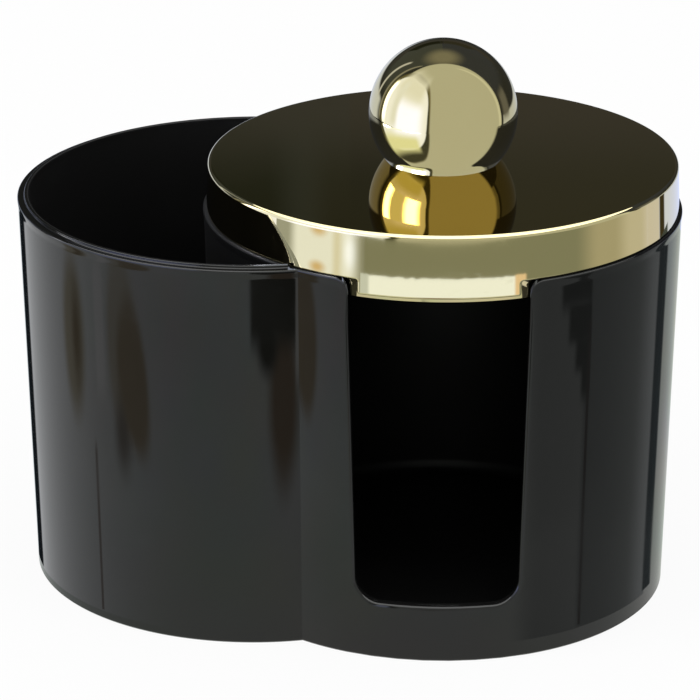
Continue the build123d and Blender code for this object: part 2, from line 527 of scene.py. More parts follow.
@dataclass
class TwinCupBody:
    """The gloss moulding: an open cup that overlaps a cup with a window and a lid."""

    spacing: float = 36.3  # distance between the two cups' axes
    height: float = 74.6  # height of both rims
    wall_top_radius: float = 44.88  # outside radius of the wall at the rim, without the bead
    wall_lean: float = 2.03  # how much further out the wall stands at the rim than at the base
    wall: float = 1.9  # thickness of the walls
    floor_height: float = 3.4
    floor_fillet: float = 2.5  # radius between floor and wall
    edge_radius: float = 0.3  # rounding of the rims and of the window's inner edges
    window_radius: float = 1.0  # rounding of the window's outer edges, below its mouth
    lip_height: float = 0.55  # how far the open cup's inner lip stands over its rim
    lip_setback: float = 1.34  # distance from the rim's outer edge to the lip
    lip_width: float = 0.8
    lip_fillet: float = 0.3  # radius between the rim and the lip
    lip_edges: tuple[float, float] = (0.15, 0.2)  # rounding of the lip's outer and inner edge
    lip_core: float = 0.1  # depth under the rim of the point that the lip's ends are fanned about
    foot_recess: float = 1.2  # depth of the hollow inside the foot ring
    foot_width: float = 2.6  # width of the foot ring, its edge chamfer included
    base_chamfer: float = 0.3
    # degrees that the window is turned from the front towards the lidded side
    window_turn: float = 10.8
    sill_height: float = 11.2
    sill_width: float = 29.6  # width of the window at its sill, before its corners are rounded
    mouth_width: float = 32.8  # width of the window at the rim, before its mouth is rounded
    corner_radius: float = 4.5  # radius of the window's lower corners
    mouth_radius: float = 2.5  # radius that rounds the window's sides over into the rim
    # half of the stretch of wall that is meshed round the window, in degrees
    panel_half_angle: float = 29.0
    columns: int = 150  # number of columns round each long stretch of wall
    bead: Bead = field(default_factory=Bead)

    @property
    def middle(self) -> float:
        """Distance of each cup's axis from the middle of the moulding."""
        return self.spacing / 2

    @property
    def facing(self) -> float:
        """Direction that the window faces, in radians from +X."""
        return math.radians(self.window_turn - 90.0)

    @property
    def half_panel(self) -> float:
        """Half of the window's panel in radians."""
        return math.radians(self.panel_half_angle)

    @property
    def share(self) -> Array:
        """Shares of the columns round a long stretch of wall."""
        return shares(self.columns)

    def outside(self, axis_x: float) -> Wall:
        """Outside of the cup whose axis stands at a place along X."""
        return Wall(axis_x, self.wall_top_radius - self.wall_lean, self.wall_lean / self.height)

    def inside(self, axis_x: float) -> Wall:
        """Inside of the cup whose axis stands at a place along X."""
        foot = self.wall_top_radius - self.wall_lean - self.wall
        return Wall(axis_x, foot, self.wall_lean / self.height, facing=-1)

    def build(self, finish: Material) -> Object:
        """Makes the moulding as one closed mesh.

        Args:
            finish: Its material.

        Returns:
            The piece.
        """
        mesh = SurfaceMesh()
        edge, corner = self.window_edge()
        edge.add_to(mesh)
        tops = self.height - self.bead.end_depth, self.height - self.edge_radius
        feet = self.base_chamfer, self.floor_fillet_rows()[0, 1]
        outer_frame, inner_frame = (
            self.panel_frame(edge, corner, top, foot) for top, foot in zip(tops, feet)
        )
        add_panel(mesh, edge.outer, edge.outer_line, outer_frame, FEW_STEPS)
        add_panel(mesh, edge.inner, edge.inner_line, inner_frame, FEW_STEPS)
        self.add_outside(mesh, outer_frame, corner)
        self.add_inside(mesh, inner_frame, corner)
        self.add_lip(mesh)
        return mesh.build("twin_cups", finish)

    def window_edge(self) -> tuple[FreeEdge, int]:
        """The rim and the window's edge across the panel.

        Returns:
            The edge, and the number of its point in the first sill corner.
        """
        outer, inner = self.outside(self.middle), self.inside(self.middle)
        reach = (outer.radius(self.height) + self.bead.proud) * math.sin(self.half_panel)
        mouth, sill = self.mouth_width / 2, self.sill_width / 2
        left = [
            PathCorner(-reach, self.height),
            PathCorner(-mouth, self.height, self.mouth_radius),
            PathCorner(-sill, self.sill_height, self.corner_radius),
        ]
        right = [PathCorner(-c.x, c.y, c.radius) for c in reversed(left)]
        path, tangents, stretches = rounded_path([*left, *right], spacing=3.0, arc_steps=10)
        across, height = np.abs(path[:, 0]), path[:, 1]
        mouth_start = across[stretches == 0].min()
        square = smooth_step((reach - across) / (reach - mouth_start))
        near_rim = height > self.height - self.mouth_radius
        fade = np.where(near_rim, smooth_step(tangents[:, 0]), 0.0)
        softer = smooth_step((self.height - self.mouth_radius - height) / (2 * self.mouth_radius))
        radius = self.edge_radius + (self.window_radius - self.edge_radius) * softer
        line = (path, tangents, square, fade)
        edge = FreeEdge(outer, inner, self.facing, *line, radius, self.bead, self.edge_radius)
        first_corner = np.flatnonzero(stretches == 3)
        return edge, int(first_corner[len(first_corner) // 2])

    def panel_frame(self, edge: FreeEdge, corner: int, top: float, low: float) -> Array:
        """The line round the window's panel, with a point for each point of the window's edge.

        Args:
            edge: The window's edge.
            corner: Number of the edge's point that the panel's first lower corner belongs to.
            top: Height of the panel's top.
            low: Height of the panel's foot.

        Returns:
            Angles and heights down one side, across the foot and up the other side.
        """
        share = path_shares(edge.path)
        stops = (0.0, share[corner], share[-1 - corner], 1.0)
        half = self.half_panel
        angle = self.facing + np.interp(share, stops, (-half, -half, half, half))
        return np.column_stack((angle, np.interp(share, stops, (top, low, low, top))))

    def bead_rows(self, wall: Wall) -> Array:
        """Section rows up the bead, from the wall to where the rim's rounding starts.

        Args:
            wall: The outside that bears it.

        Returns:
            The rows.
        """
        depth = np.array((*self.bead.depths(), self.edge_radius))
        rows = wall.rows(self.height - depth)
        rows[:, 0] += self.bead.lift(depth)
        rows[:, 3] -= self.bead.slope(depth)
        return rows

    def rim_rounding(self, wall: Wall, lift: float) -> Array:
        """Section rows round a rim's edge, from the wall to the flat top.

        Args:
            wall: The wall.
            lift: How far the rim stands out of it.

        Returns:
            The rows.
        """
        side = self.height - self.edge_radius
        top_radius = wall.radius(self.height) + lift
        start = np.array(((wall.radius(side) + lift, side),))
        corner = np.array(((top_radius, self.height),))
        stop = np.array(((top_radius - wall.facing * self.edge_radius, self.height),))
        first = wall.rows(np.array((side,)))[:, 2:]
        points, normals = eased_corner(start, corner, stop, first, np.array(((0.0, 1.0),)))
        return np.concatenate((points, normals), axis=-1)[:, 0]

    def floor_fillet_rows(self) -> Array:
        """Section rows down the fillet between a cup's inside and its floor.

        Returns:
            The rows.
        """
        wall = self.inside(0.0)
        tilt = math.atan(wall.lean)
        start = self.floor_height + self.floor_fillet * (1 - math.sin(tilt))
        centre = (
            wall.radius(start) - self.floor_fillet * math.cos(tilt),
            self.floor_height + self.floor_fillet,
        )
        return arc_rows(centre, self.floor_fillet, -math.degrees(tilt), -90.0, 6)

    def outside_runs(self, heights: Array) -> list[Array]:
        """Section rows of a cup's outside, from the hollow under it to the flat of the rim.

        Args:
            heights: Heights of the rows up the wall.

        Returns:
            The rows of each stretch.
        """
        wall = self.outside(0.0)
        recess = wall.radius(0.0) - self.foot_width
        ring = wall.radius(0.0) - self.base_chamfer
        chamfer_top = (wall.radius(self.base_chamfer), self.base_chamfer)
        foot = ((recess, self.foot_recess), (recess, 0.0), (ring, 0.0), chamfer_top)
        return [
            *straight_runs(foot, (1, 1, 1)),
            wall.rows(heights),
            self.bead_rows(wall),
            self.rim_rounding(wall, self.bead.proud),
        ]

    def notch_angles(self, radius: Array, first: bool) -> Array:
        """Angles at which circles about the first cup's axis, or the second's, cross the middle."""
        return np.arccos((self.middle if first else -self.middle) / radius)

    def crossing(self, open_radius: Array, lidded_radius: Array | float) -> Array:
        """Place along X where a circle of the open cup meets a circle of the lidded one."""
        return (open_radius**2 - lidded_radius**2) / (2 * self.spacing)

    def lidded_outline(self, heights: Array) -> Array:
        """Outside radius of the lidded cup, its bead and its rim's rounding included.

        Args:
            heights: The heights.

        Returns:
            The radius at each.
        """
        wall = self.outside(0.0)
        rounding = self.rim_rounding(wall, self.bead.proud)
        below = wall.radius(heights) + self.bead.lift(self.height - heights)
        high = np.interp(heights, rounding[:, 1], rounding[:, 0])
        return np.where(heights > rounding[0, 1], high, below)

    def add_outside(self, mesh: SurfaceMesh, frame_line: Array, corner: int) -> None:
        """Adds both cups' outsides and the underside.

        Args:
            mesh: Mesh to add to.
            frame_line: Line round the window's panel on the outside.
            corner: Number of that line's point in its first lower corner.
        """
        heights = frame_line[corner::-1, 1]
        foot_angles = frame_line[corner : len(frame_line) - corner, 0]
        first_angle, last_angle = foot_angles[0], foot_angles[-1]
        share, front_share = self.share, shares(FEW_STEPS)
        for number, rows in enumerate(self.outside_runs(heights)):
            notch = self.notch_angles(rows[:, :1], first=True)
            lathe(mesh, -self.middle, rows, round_from(notch, share))
            notch = self.notch_angles(rows[:, :1], first=False)
            lathe(mesh, self.middle, rows, -notch + (first_angle + notch) * front_share)
            lathe(mesh, self.middle, rows, last_angle + (notch - last_angle) * share)
            if number < 3:
                lathe(mesh, self.middle, rows, foot_angles)
        self.add_ceiling(mesh, foot_angles)

    def add_ceiling(self, mesh: SurfaceMesh, foot_angles: Array) -> None:
        """Adds the flat underside of the floors, inside the foot ring.

        Args:
            mesh: Mesh to add to.
            foot_angles: Angles of the columns under the window's panel.
        """
        radius = self.outside(0.0).radius(0.0) - self.foot_width
        notch = float(self.notch_angles(np.array(radius), first=True))
        open_angles = round_from(notch, self.share)
        notch = float(self.notch_angles(np.array(radius), first=False))
        before = -notch + (foot_angles[0] + notch) * shares(FEW_STEPS)
        after = foot_angles[-1] + (notch - foot_angles[-1]) * self.share
        lidded_angles = np.concatenate((before, foot_angles[1:-1], after))
        for axis_x, angles in ((-self.middle, open_angles), (self.middle, lidded_angles)):
            self.add_disc(mesh, axis_x, radius, angles, self.foot_recess, -1)

    @staticmethod
    def add_disc(
        mesh: SurfaceMesh, axis_x: float, radius: float, angles: Array, height: float, side: int
    ) -> None:
        """Adds a flat face that fills an outline about an axis.

        Args:
            mesh: Mesh to add to.
            axis_x: Place of the axis along X.
            radius: Radius of the outline's round part.
            angles: Angles of its points, which a straight edge closes.
            height: Height of the face.
            side: 1 where it faces up and -1 where it faces down.
        """
        closed = np.append(angles, angles[0])
        share = np.linspace(1.0, 0.0, 5)[:, None]
        along, across = radius * np.cos(closed), radius * np.sin(closed)
        points = np.stack((axis_x + along * share, across * share, height + 0 * share * along), -1)
        mesh.add(points, side * UP)

    def add_inside(self, mesh: SurfaceMesh, frame_line: Array, corner: int) -> None:
        """Adds the rims' flats, both cups' insides, the wall between them and the floors.

        Args:
            mesh: Mesh to add to.
            frame_line: Line round the window's panel on the inside.
            corner: Number of that line's point in its first lower corner.
        """
        outer, inner = self.outside(0.0), self.inside(0.0)
        flat = straight_rows(
            (outer.radius(self.height) + self.bead.proud - self.edge_radius, self.height),
            (inner.radius(self.height) + self.edge_radius, self.height),
            2,
        )
        rounding = self.rim_rounding(inner, 0.0)[::-1]
        fillet = self.floor_fillet_rows()
        depth = np.array((self.edge_radius, *self.bead.depths()[::-1]))
        low = np.linspace(self.height - self.bead.end_depth, fillet[0, 1], FEW_STEPS + 1)[1:]
        open_wall = inner.rows(np.concatenate((self.height - depth, low)))
        divider = self.add_open_cup(mesh, flat, (rounding, open_wall, fillet))
        ring = self.ring_angles(flat, divider, frame_line)
        lidded_wall = inner.rows(frame_line[: corner + 1, 1])
        for rows in (flat, rounding, lidded_wall):
            lathe(mesh, self.middle, rows, ring)
        foot_angles = frame_line[corner : len(frame_line) - corner, 0]
        around = np.concatenate((ring, foot_angles[1:] + 2 * math.pi))
        lathe(mesh, self.middle, fillet, around)
        self.add_disc(mesh, self.middle, fillet[-1, 0], around[:-1], self.floor_height, 1)

    def add_open_cup(self, mesh: SurfaceMesh, flat: Array, inside: Iterable[Array]) -> Array:
        """Adds the open cup's rim and inside, the lidded cup's wall in it and the crescent floor.

        Args:
            mesh: Mesh to add to.
            flat: Section rows across the rim's flat.
            inside: Section rows of the inside's stretches.

        Returns:
            Angles of the divider's top, about the lidded cup's axis.
        """
        start = np.arccos((self.crossing(flat[:, :1], flat[0, 0]) + self.middle) / flat[:, :1])
        lathe(mesh, -self.middle, flat, round_from(start, self.share))
        rows = np.concatenate([run[n > 0 :] for n, run in enumerate(inside)])
        radius, heights = rows[:, :1], rows[:, 1]
        outline = self.lidded_outline(heights)
        meeting = self.crossing(radius, outline[:, None])
        start = np.arccos((meeting + self.middle) / radius)
        open_angles = round_from(start, self.share)
        lathe(mesh, -self.middle, rows, open_angles)
        start = np.arccos((meeting - self.middle) / outline[:, None])
        divider_angles = round_from(start, self.share)
        lathe(mesh, self.middle, self.divider_rows(heights, outline), divider_angles)
        edges = [
            np.column_stack((side + r * np.cos(angles), r * np.sin(angles)))
            for side, r, angles in (
                (-self.middle, rows[-1, 0], open_angles[-1]),
                (self.middle, outline[-1], divider_angles[-1]),
            )
        ]
        blend = shares(3)[:, None, None]
        floor = edges[0] * (1 - blend) + edges[1] * blend
        level = np.full((*floor.shape[:2], 1), self.floor_height)
        mesh.add(np.concatenate((floor, level), axis=-1), UP)
        return divider_angles[0]

    def add_lip(self, mesh: SurfaceMesh) -> None:
        """Adds the low lip round the inner edge of the open cup's rim.

        Args:
            mesh: Mesh to add to.
        """
        rim = self.wall_top_radius + self.bead.proud
        outer = rim - self.lip_setback
        inner, start = outer - self.lip_width, outer + self.lip_fillet
        foot, top = self.height - self.lip_fillet, self.height + self.lip_height
        round_out, round_in = self.lip_edges
        runs = (
            straight_rows((start, foot), (start, self.height)),
            arc_rows((start, self.height + self.lip_fillet), self.lip_fillet, -90.0, -180.0, 5),
            arc_rows((outer - round_out, top - round_out), round_out, 0.0, 90.0, 4),
            straight_rows((outer - round_out, top), (inner + round_in, top)),
            arc_rows((inner + round_in, top - round_in), round_in, 90.0, 180.0, 4),
            straight_rows((inner, top - round_in), (inner, foot)),
            straight_rows((inner, foot), (start, foot)),
        )
        middle = (outer + inner) / 2
        first = float(np.arccos((self.crossing(np.array(middle), rim) + self.middle) / middle))
        angles = round_from(first, self.share)
        joined = np.array((runs[1][-1], runs[2][0]))
        for rows in (*runs[:2], joined, *runs[2:]):
            lathe(mesh, -self.middle, rows, angles)
        section = np.concatenate((*runs, runs[0][:1]))[:, :2]
        core = np.broadcast_to((middle, self.height - self.lip_core), section.shape)
        for angle, side in ((angles[0], -1), (angles[-1], 1)):
            spoke = np.array((math.cos(angle), math.sin(angle), 0.0))
            cap = np.stack((section, core))
            points = cap[..., :1] * spoke + cap[..., 1:] * UP - (self.middle, 0.0, 0.0)
            mesh.add(points, side * np.array((-spoke[1], spoke[0], 0.0)))

    def divider_rows(self, heights: Array, outline: Array) -> Array:
        """Section rows of the lidded cup's outside where it stands in the open cup.

        Args:
            heights: Their heights.
            outline: Their radii.

        Returns:
            The rows.
        """
        wall = self.outside(0.0)
        rows = wall.rows(heights)
        rows[:, 0] = outline
        depth = self.height - heights
        rows[:, 3] -= self.bead.slope(depth)
        rounding = self.rim_rounding(wall, self.bead.proud)
        high = heights > rounding[0, 1]
        for column in (2, 3):
            rows[high, column] = np.interp(heights[high], rounding[:, 1], rounding[:, column])
        return rows

    def ring_angles(self, flat: Array, divider: Array, frame_line: Array) -> Array:
        """Angles of the columns round the lidded cup's rim, from side to side of the window.

        Args:
            flat: Section rows across the rim's flat.
            divider: Angles of the divider's top.
            frame_line: Line round the window's panel on the inside.

        Returns:
            The angles, where the two rims run into each other included.
        """
        first_angle, last_angle = frame_line[-1, 0], frame_line[0, 0] + 2 * math.pi
        merged = np.arccos((self.crossing(flat[:, 0], flat[0, 0]) - self.middle) / flat[0, 0])
        exposed = first_angle + (merged[0] - first_angle) * self.share
        front_notch = 2 * math.pi - merged[0]
        front = front_notch + (last_angle - front_notch) * shares(FEW_STEPS)
        back_of_front = 2 * math.pi - merged[::-1]
        return np.concatenate((exposed, merged[1:], divider[1:], back_of_front[1:], front[1:]))


@dataclass
class KeyedLid:
    """The plated lid: plate, side on the rim, ring in the cup and tab in the window."""

    axis_x: float  # place of the lid's axis along X
    seat: float  # height of the rim that it stands on
    facing: float  # direction that the tab faces, in radians from +X
    radius: float = 44.05  # outside radius at the top
    spread: float = 0.35  # how much further out the side stands at its foot
    side_height: float = 9.1  # height of the lid above the rim
    plate: float = 1.8
    top_radius: float = 0.8  # rounding between side and top
    edge_radius: float = 0.4  # rounding of the side's foot and of the tab's edges
    ring_radius: float = 42.35
    ring_wall: float = 1.5
    ring_depth: float = 4.3  # how far the ring reaches below the rim
    ring_lead_in: float = 0.4  # chamfer at the ring's foot
    tab_half_width: float = 14.7
    tab_drop: float = 2.7  # how far the tab hangs below the rim
    tab_corner: float = 0.5
    boss_radius: float = 7.0  # radius of the boss round the screw
    boss_height: float = 1.2
    hole_radius: float = 2.25
    # half of the stretch of side that is meshed round the tab, in degrees
    panel_half_angle: float = 23.0
    panel_rise: float = 2.0  # height of that stretch above the rim
    panel_steps: int = 4  # number of steps up it
    columns: int = 220  # number of columns round the rest of the lid

    @property
    def top(self) -> float:
        """Height of the lid's top."""
        return self.seat + self.side_height

    @property
    def panel_top(self) -> float:
        """Height of the top of the panel round the tab."""
        return self.seat + self.panel_rise

    @property
    def ring_foot(self) -> float:
        """Height where the ring's chamfer ends."""
        return self.seat - self.ring_depth + self.ring_lead_in

    def side(self, axis_x: float) -> Wall:
        """The lid's side, about an axis at a place along X."""
        lean = -self.spread / self.side_height
        return Wall(axis_x, self.radius - lean * self.top, lean)

    def build(self, finish: Material) -> Object:
        """Makes the lid as one closed mesh.

        Args:
            finish: Its material.

        Returns:
            The piece.
        """
        mesh = SurfaceMesh()
        edge = self.foot_edge()
        edge.add_to(mesh)
        half = math.radians(self.panel_half_angle)
        angles = self.facing + half - 2 * half * path_shares(edge.path)
        rest = np.linspace(angles[-1], angles[0] - 2 * math.pi, self.columns + 1)
        for wall, line, end in (
            (edge.inner, edge.inner_line, self.ring_foot),
            (edge.outer, edge.outer_line, self.panel_top),
        ):
            level = np.column_stack((angles, np.full_like(angles, end)))
            add_panel(mesh, wall, line, level, self.panel_steps)
        for rows in self.foot_runs(edge.bead):
            lathe(mesh, self.axis_x, rows, rest)
        for rows in self.full_runs():
            lathe(mesh, self.axis_x, rows, np.concatenate((angles, rest[1:])))
        return mesh.build("lid_shell", finish)

    def foot_edge(self) -> FreeEdge:
        """The side's foot and the tab's edge across the panel.

        Returns:
            The edge.
        """
        outer, inner = self.side(self.axis_x), Wall(self.axis_x, self.ring_radius)
        reach = outer.radius(self.seat) * math.sin(math.radians(self.panel_half_angle))
        right = [
            PathCorner(reach, self.seat),
            PathCorner(self.tab_half_width, self.seat, self.edge_radius),
            PathCorner(self.tab_half_width, self.seat - self.tab_drop, self.tab_corner),
        ]
        left = [PathCorner(-c.x, c.y, c.radius) for c in reversed(right)]
        path, tangents, stretches = rounded_path([*right, *left], spacing=1.0, arc_steps=6)
        across = np.abs(path[:, 0])
        tab_start = across[stretches == 0].min()
        square = smooth_step((reach - across) / (reach - tab_start))
        plain = Bead(proud=0.0, full_depth=0.42, end_depth=0.46, steps=1)
        line = (path, tangents, square, np.zeros_like(across))
        return FreeEdge(outer, inner, self.facing, *line, self.edge_radius, plain)

    def foot_runs(self, plain: Bead) -> list[Array]:
        """Section rows of the ring's outside and the side's foot, away from the tab.

        Args:
            plain: The edge's rows of steps up the side.

        Returns:
            The rows of each stretch.
        """
        side = np.array((self.edge_radius, *plain.depths()[::-1]))
        wall = self.side(0.0)
        foot_radius = wall.radius(self.seat)
        corner = np.array(((foot_radius, self.seat),))
        under = corner - np.array(((self.edge_radius, 0.0),))
        above = wall.rows(np.array((self.seat + self.edge_radius,)))
        down = np.array(((0.0, -1.0),))
        points, normals = eased_corner(above[:, :2], corner, under, above[:, 2:], down)
        rounding = np.concatenate((points, normals), axis=-1)[::-1, 0]
        ring, steps = self.ring_radius, self.panel_steps
        inside = ((ring, self.ring_foot), (ring, self.seat), tuple(under[0]))
        return [
            *straight_runs(inside, (steps, 2)),
            rounding,
            wall.rows(self.seat + side),
            wall.rows(np.linspace(self.seat + side[-1], self.panel_top, steps + 1)),
        ]

    def full_runs(self) -> list[Array]:
        """Section rows that go all the way round: from the panel over the top to the ring's foot.

        Returns:
            The rows of each stretch.
        """
        underside = self.top - self.plate
        boss = underside - self.boss_height
        inner = self.ring_radius - self.ring_wall
        low = self.seat - self.ring_depth
        lead_in = self.ring_radius - self.ring_lead_in
        wall = self.side(0.0)
        tilt = -math.atan(wall.lean)
        rounding_foot = self.top - self.top_radius * (1 - math.sin(tilt))
        rim = wall.radius(rounding_foot) - self.top_radius * math.cos(tilt)
        corners = (
            (rim, self.top),
            (self.hole_radius, self.top),
            (self.hole_radius, boss),
            (self.boss_radius, boss),
            (self.boss_radius, underside),
            (inner, underside),
            (inner, low),
            (lead_in, low),
            (self.ring_radius, self.ring_foot),
        )
        centre = (rim, self.top - self.top_radius)
        return [
            wall.rows(np.array((self.panel_top, rounding_foot))),
            arc_rows(centre, self.top_radius, math.degrees(tilt), 90.0, 10),
            *straight_runs(corners, (8, 1, 1, 1, 6, 2, 1, 1)),
        ]


class Graph:
    """Adds nodes to a tree and joins them, for shaders and for shapes alike."""

    def __init__(self, tree: bpy.types.NodeTree) -> None:
        """Starts on a tree."""
        self.tree = tree

    def add(
        self, kind: str, values: Mapping[int | str, Link] | None = None, **settings: object
    ) -> bpy.types.Node:
        """Adds a node.

        Args:
            kind: The node's type.
            values: Another node's output or a constant for each input, by name or number.
            **settings: The node's own settings.

        Returns:
            The node.
        """
        node = self.tree.nodes.new(kind)
        for name, value in settings.items():
            setattr(node, name, value)
        for key, value in (values or {}).items():
            if isinstance(value, Socket):
                self.tree.links.new(value, node.inputs[key])
            else:
                node.inputs[key].default_value = value
        return node

    def math(self, operation: str, *values: Link, clamp: bool = False) -> Socket:
        """Adds a sum on numbers and returns its result."""
        inputs = dict(enumerate(values))
        return self.add("ShaderNodeMath", inputs, operation=operation, use_clamp=clamp).outputs[0]

    def vector(self, operation: str, *values: Link, output: int = 0) -> Socket:
        """Adds a sum on vectors and returns its result."""
        node = self.add("ShaderNodeVectorMath", dict(enumerate(values)), operation=operation)
        return node.outputs[output]

    def length(self, vector: Link) -> Socket:
        """Length of a vector."""
        return self.vector("LENGTH", vector, output=1)

    def along(self, vector: Link, direction: Link) -> Socket:
        """How far a vector reaches in a direction of unit length."""
        return self.vector("DOT_PRODUCT", vector, direction, output=1)

    def parts(self, vector: Link) -> NodeOutputs:
        """The three parts of a vector."""
        return self.add("ShaderNodeSeparateXYZ", {0: vector}).outputs

    def joined(self, *parts: Link) -> Socket:
        """Vector with the given parts."""
        return self.add("ShaderNodeCombineXYZ", dict(enumerate(parts))).outputs[0]

    def place(self) -> Socket:
        """Place on the piece, in metres."""
        return self.add("ShaderNodeTexCoord").outputs["Object"]

    def light_path(self) -> NodeOutputs:
        # painted reflection: white for the lid in any mirror and for the ball in a second one, dark
        # ochre for the ball in the first mirror
        """What kind of ray sees the surface, and after how many mirrors."""
        return self.add("ShaderNodeLightPath").outputs

    def between(self, share: Link, start: Link, stop: Link) -> Socket:
        """Number that lies a share of the way from start to stop."""
        span = self.math("SUBTRACT", stop, start)
        return self.math("MULTIPLY_ADD", span, share, start)

    def soft_step(self, value: Link, low: Link, high: Link) -> Socket:
        """Number that eases from 0 at low to 1 at high."""
        settings = {"Value": value, "From Min": low, "From Max": high}
        return self.add("ShaderNodeMapRange", settings, interpolation_type="SMOOTHSTEP").outputs[0]

    def mix_colour(self, share: Link, first: Link, second: Link) -> Socket:
        """Colour that lies a share of the way from the first to the second."""
        node = self.add("ShaderNodeMix", {0: share, 6: first, 7: second}, data_type="RGBA")
        return node.outputs[2]


def new_material(name: str) -> tuple[Material, Graph]:
    """Makes a material whose tree is still empty.

    Args:
        name: Its name.

    Returns:
        The material and its graph.
    """
    material = bpy.data.materials.new(name)
    material.use_nodes = True
    material.node_tree.nodes.clear()
    return material, Graph(material.node_tree)


def named_sizes(piece: object, *fields: str) -> dict[str, float]:
    """Sizes of a piece by the names that its tree's inputs get."""
    return {name.replace("_", " ").title(): getattr(piece, name) for name in fields}


class TurnedShape(Graph):
    """A Geometry Nodes tree that turns a piece about an upright axis, strip by strip.

    Every strip is a grid whose columns run round the axis and whose rows run along the section.
    """

    def __init__(self, name: str, sizes: Mapping[str, float]) -> None:
        """Makes the tree with its named inputs.

        Args:
            name: Name of the tree.
            sizes: The inputs for sizes and their values, in millimetres.
        """
        super().__init__(bpy.data.node_groups.new(name, "GeometryNodeTree"))
        self.sizes = {key: size * MM for key, size in sizes.items()}
        kinds = ("NodeSocketVector", "NodeSocketInt", "NodeSocketMaterial")
        sockets = dict(zip(("Axis", "Columns", "Finish"), kinds))
        sockets.update(dict.fromkeys(sizes, "NodeSocketFloat"))
        new_socket = self.tree.interface.new_socket
        new_socket("Geometry", in_out="OUTPUT", socket_type="NodeSocketGeometry")
        for key, kind in sockets.items():
            new_socket(key, in_out="INPUT", socket_type=kind)
        self.inputs = self.add("NodeGroupInput").outputs
        self.size_outputs = [self.inputs[key] for key in sizes]
        self.strips: list[Socket] = []
        place = self.parts(self.add("GeometryNodeInputPosition").outputs[0])
        self.turn = self.math("MULTIPLY_ADD", place[0], math.tau, math.pi)
        self.share = self.math("ADD", place[1], 0.5)

    def strip(self, rows: int, radius: Link, height: Link) -> None:
        """Adds a strip.

        Args:
            rows: Number of steps along the section.
            radius: Distance from the axis, as a function of turn and share.
            height: Height, as a function of turn and share.
        """
        columns = self.math("ADD", self.inputs["Columns"], 1)
        size = {"Size X": 1.0, "Size Y": 1.0, "Vertices X": columns, "Vertices Y": rows + 1}
        flat = self.add("GeometryNodeMeshGrid", size)
        along = self.math("MULTIPLY", radius, self.math("COSINE", self.turn))
        across = self.math("MULTIPLY", radius, self.math("SINE", self.turn))
        place = self.vector("ADD", self.joined(along, across, height), self.inputs["Axis"])
        moving = {"Geometry": flat.outputs["Mesh"], "Position": place}
        moved = self.add("GeometryNodeSetPosition", moving)
        self.strips.append(moved.outputs[0])

    def straight(self, start: tuple[Link, Link], stop: tuple[Link, Link], rows: int = 1) -> None:
        """Adds a strip with a straight section, between two places of radius and height."""
        radius = self.between(self.share, start[0], stop[0])
        self.strip(rows, radius, self.between(self.share, start[1], stop[1]))

    def outline(self, *corners: tuple[Link, Link]) -> None:
        """Adds straight strips from corner to corner, which are places of radius and height."""
        for start, stop in zip(corners, corners[1:]):
            self.straight(start, stop)

    def arc(
        self, centre: tuple[Link, Link], radius: Link, start: Link, stop: Link, rows: int
    ) -> None:
        """Adds a strip whose section is an arc.

        Args:
            centre: Radius and height of the arc's centre.
            radius: The arc's own radius.
            start: Angle of its first end in radians, from straight up towards outwards.
            stop: Angle of its last end.
            rows: Number of steps along it.
        """
        angle = self.between(self.share, start, stop)
        reach = self.math("MULTIPLY_ADD", self.math("SINE", angle), radius, centre[0])
        height = self.math("MULTIPLY_ADD", self.math("COSINE", angle), radius, centre[1])
        self.strip(rows, reach, height)

    def ridges(self, crest: Link, depth: Link, phase: Link) -> Socket:
        """Radius of a surface whose ridges reach the crest once in each whole phase."""
        wave = self.math("PINGPONG", self.math("MULTIPLY", phase, 2.0), 1.0)
        return self.math("SUBTRACT", crest, self.math("MULTIPLY", depth, wave))

    def close(self) -> None:
        """Joins the strips, welds them and gives them their finish."""
        joined = self.add("GeometryNodeJoinGeometry")
        for strip in self.strips:
            self.tree.links.new(strip, joined.inputs[0])
        made = joined.outputs[0]
        for kind, values in (
            ("GeometryNodeMergeByDistance", {"Distance": WELD_DISTANCE}),
            ("GeometryNodeSetShadeSmooth", {}),
            ("GeometryNodeRealizeInstances", {}),
            ("GeometryNodeSetMaterial", {"Material": self.inputs["Finish"]}),
        ):
            made = self.add(kind, {"Geometry": made, **values}).outputs[0]
        self.add("NodeGroupOutput", {0: made})

    def make(self, name: str, axis_x: float, columns: int, finish: Material) -> Object:
        """Runs the tree and keeps its result as a plain mesh.

        Args:
            name: Name of the piece.
            axis_x: Place of the axis along X, in millimetres.
            columns: Number of columns round the axis.
            finish: The piece's material.

        Returns:
            The piece, with its faces pointing outwards and its corners sharp.
        """
        piece = bpy.data.objects.new(name, bpy.data.meshes.new(name))
        bpy.context.scene.collection.objects.link(piece)
        modifier = piece.modifiers.new("turning", "NODES")
        modifier.node_group = self.tree
        axis = (axis_x * MM, 0.0, 0.0)
        values = {"Axis": axis, "Columns": columns, "Finish": finish, **self.sizes}
        for item in self.tree.interface.items_tree:
            if item.in_out == "INPUT":
                modifier[item.identifier] = values[item.name]
        depsgraph = bpy.context.evaluated_depsgraph_get()
        shown = piece.evaluated_get(depsgraph)
        plain = bpy.data.meshes.new_from_object(shown, depsgraph=depsgraph)
        piece.modifiers.clear()
        empty, piece.data = piece.data, plain
        bpy.data.meshes.remove(empty)
        plain.name = name
        shell = bmesh.new()
        shell.from_mesh(plain)
        bmesh.ops.recalc_face_normals(shell, faces=shell.faces)
        shell.to_mesh(plain)
        shell.free()
        plain.materials.clear()
        plain.materials.append(finish)
        plain.set_sharp_from_angle(angle=SHARP_ANGLE)
        return piece


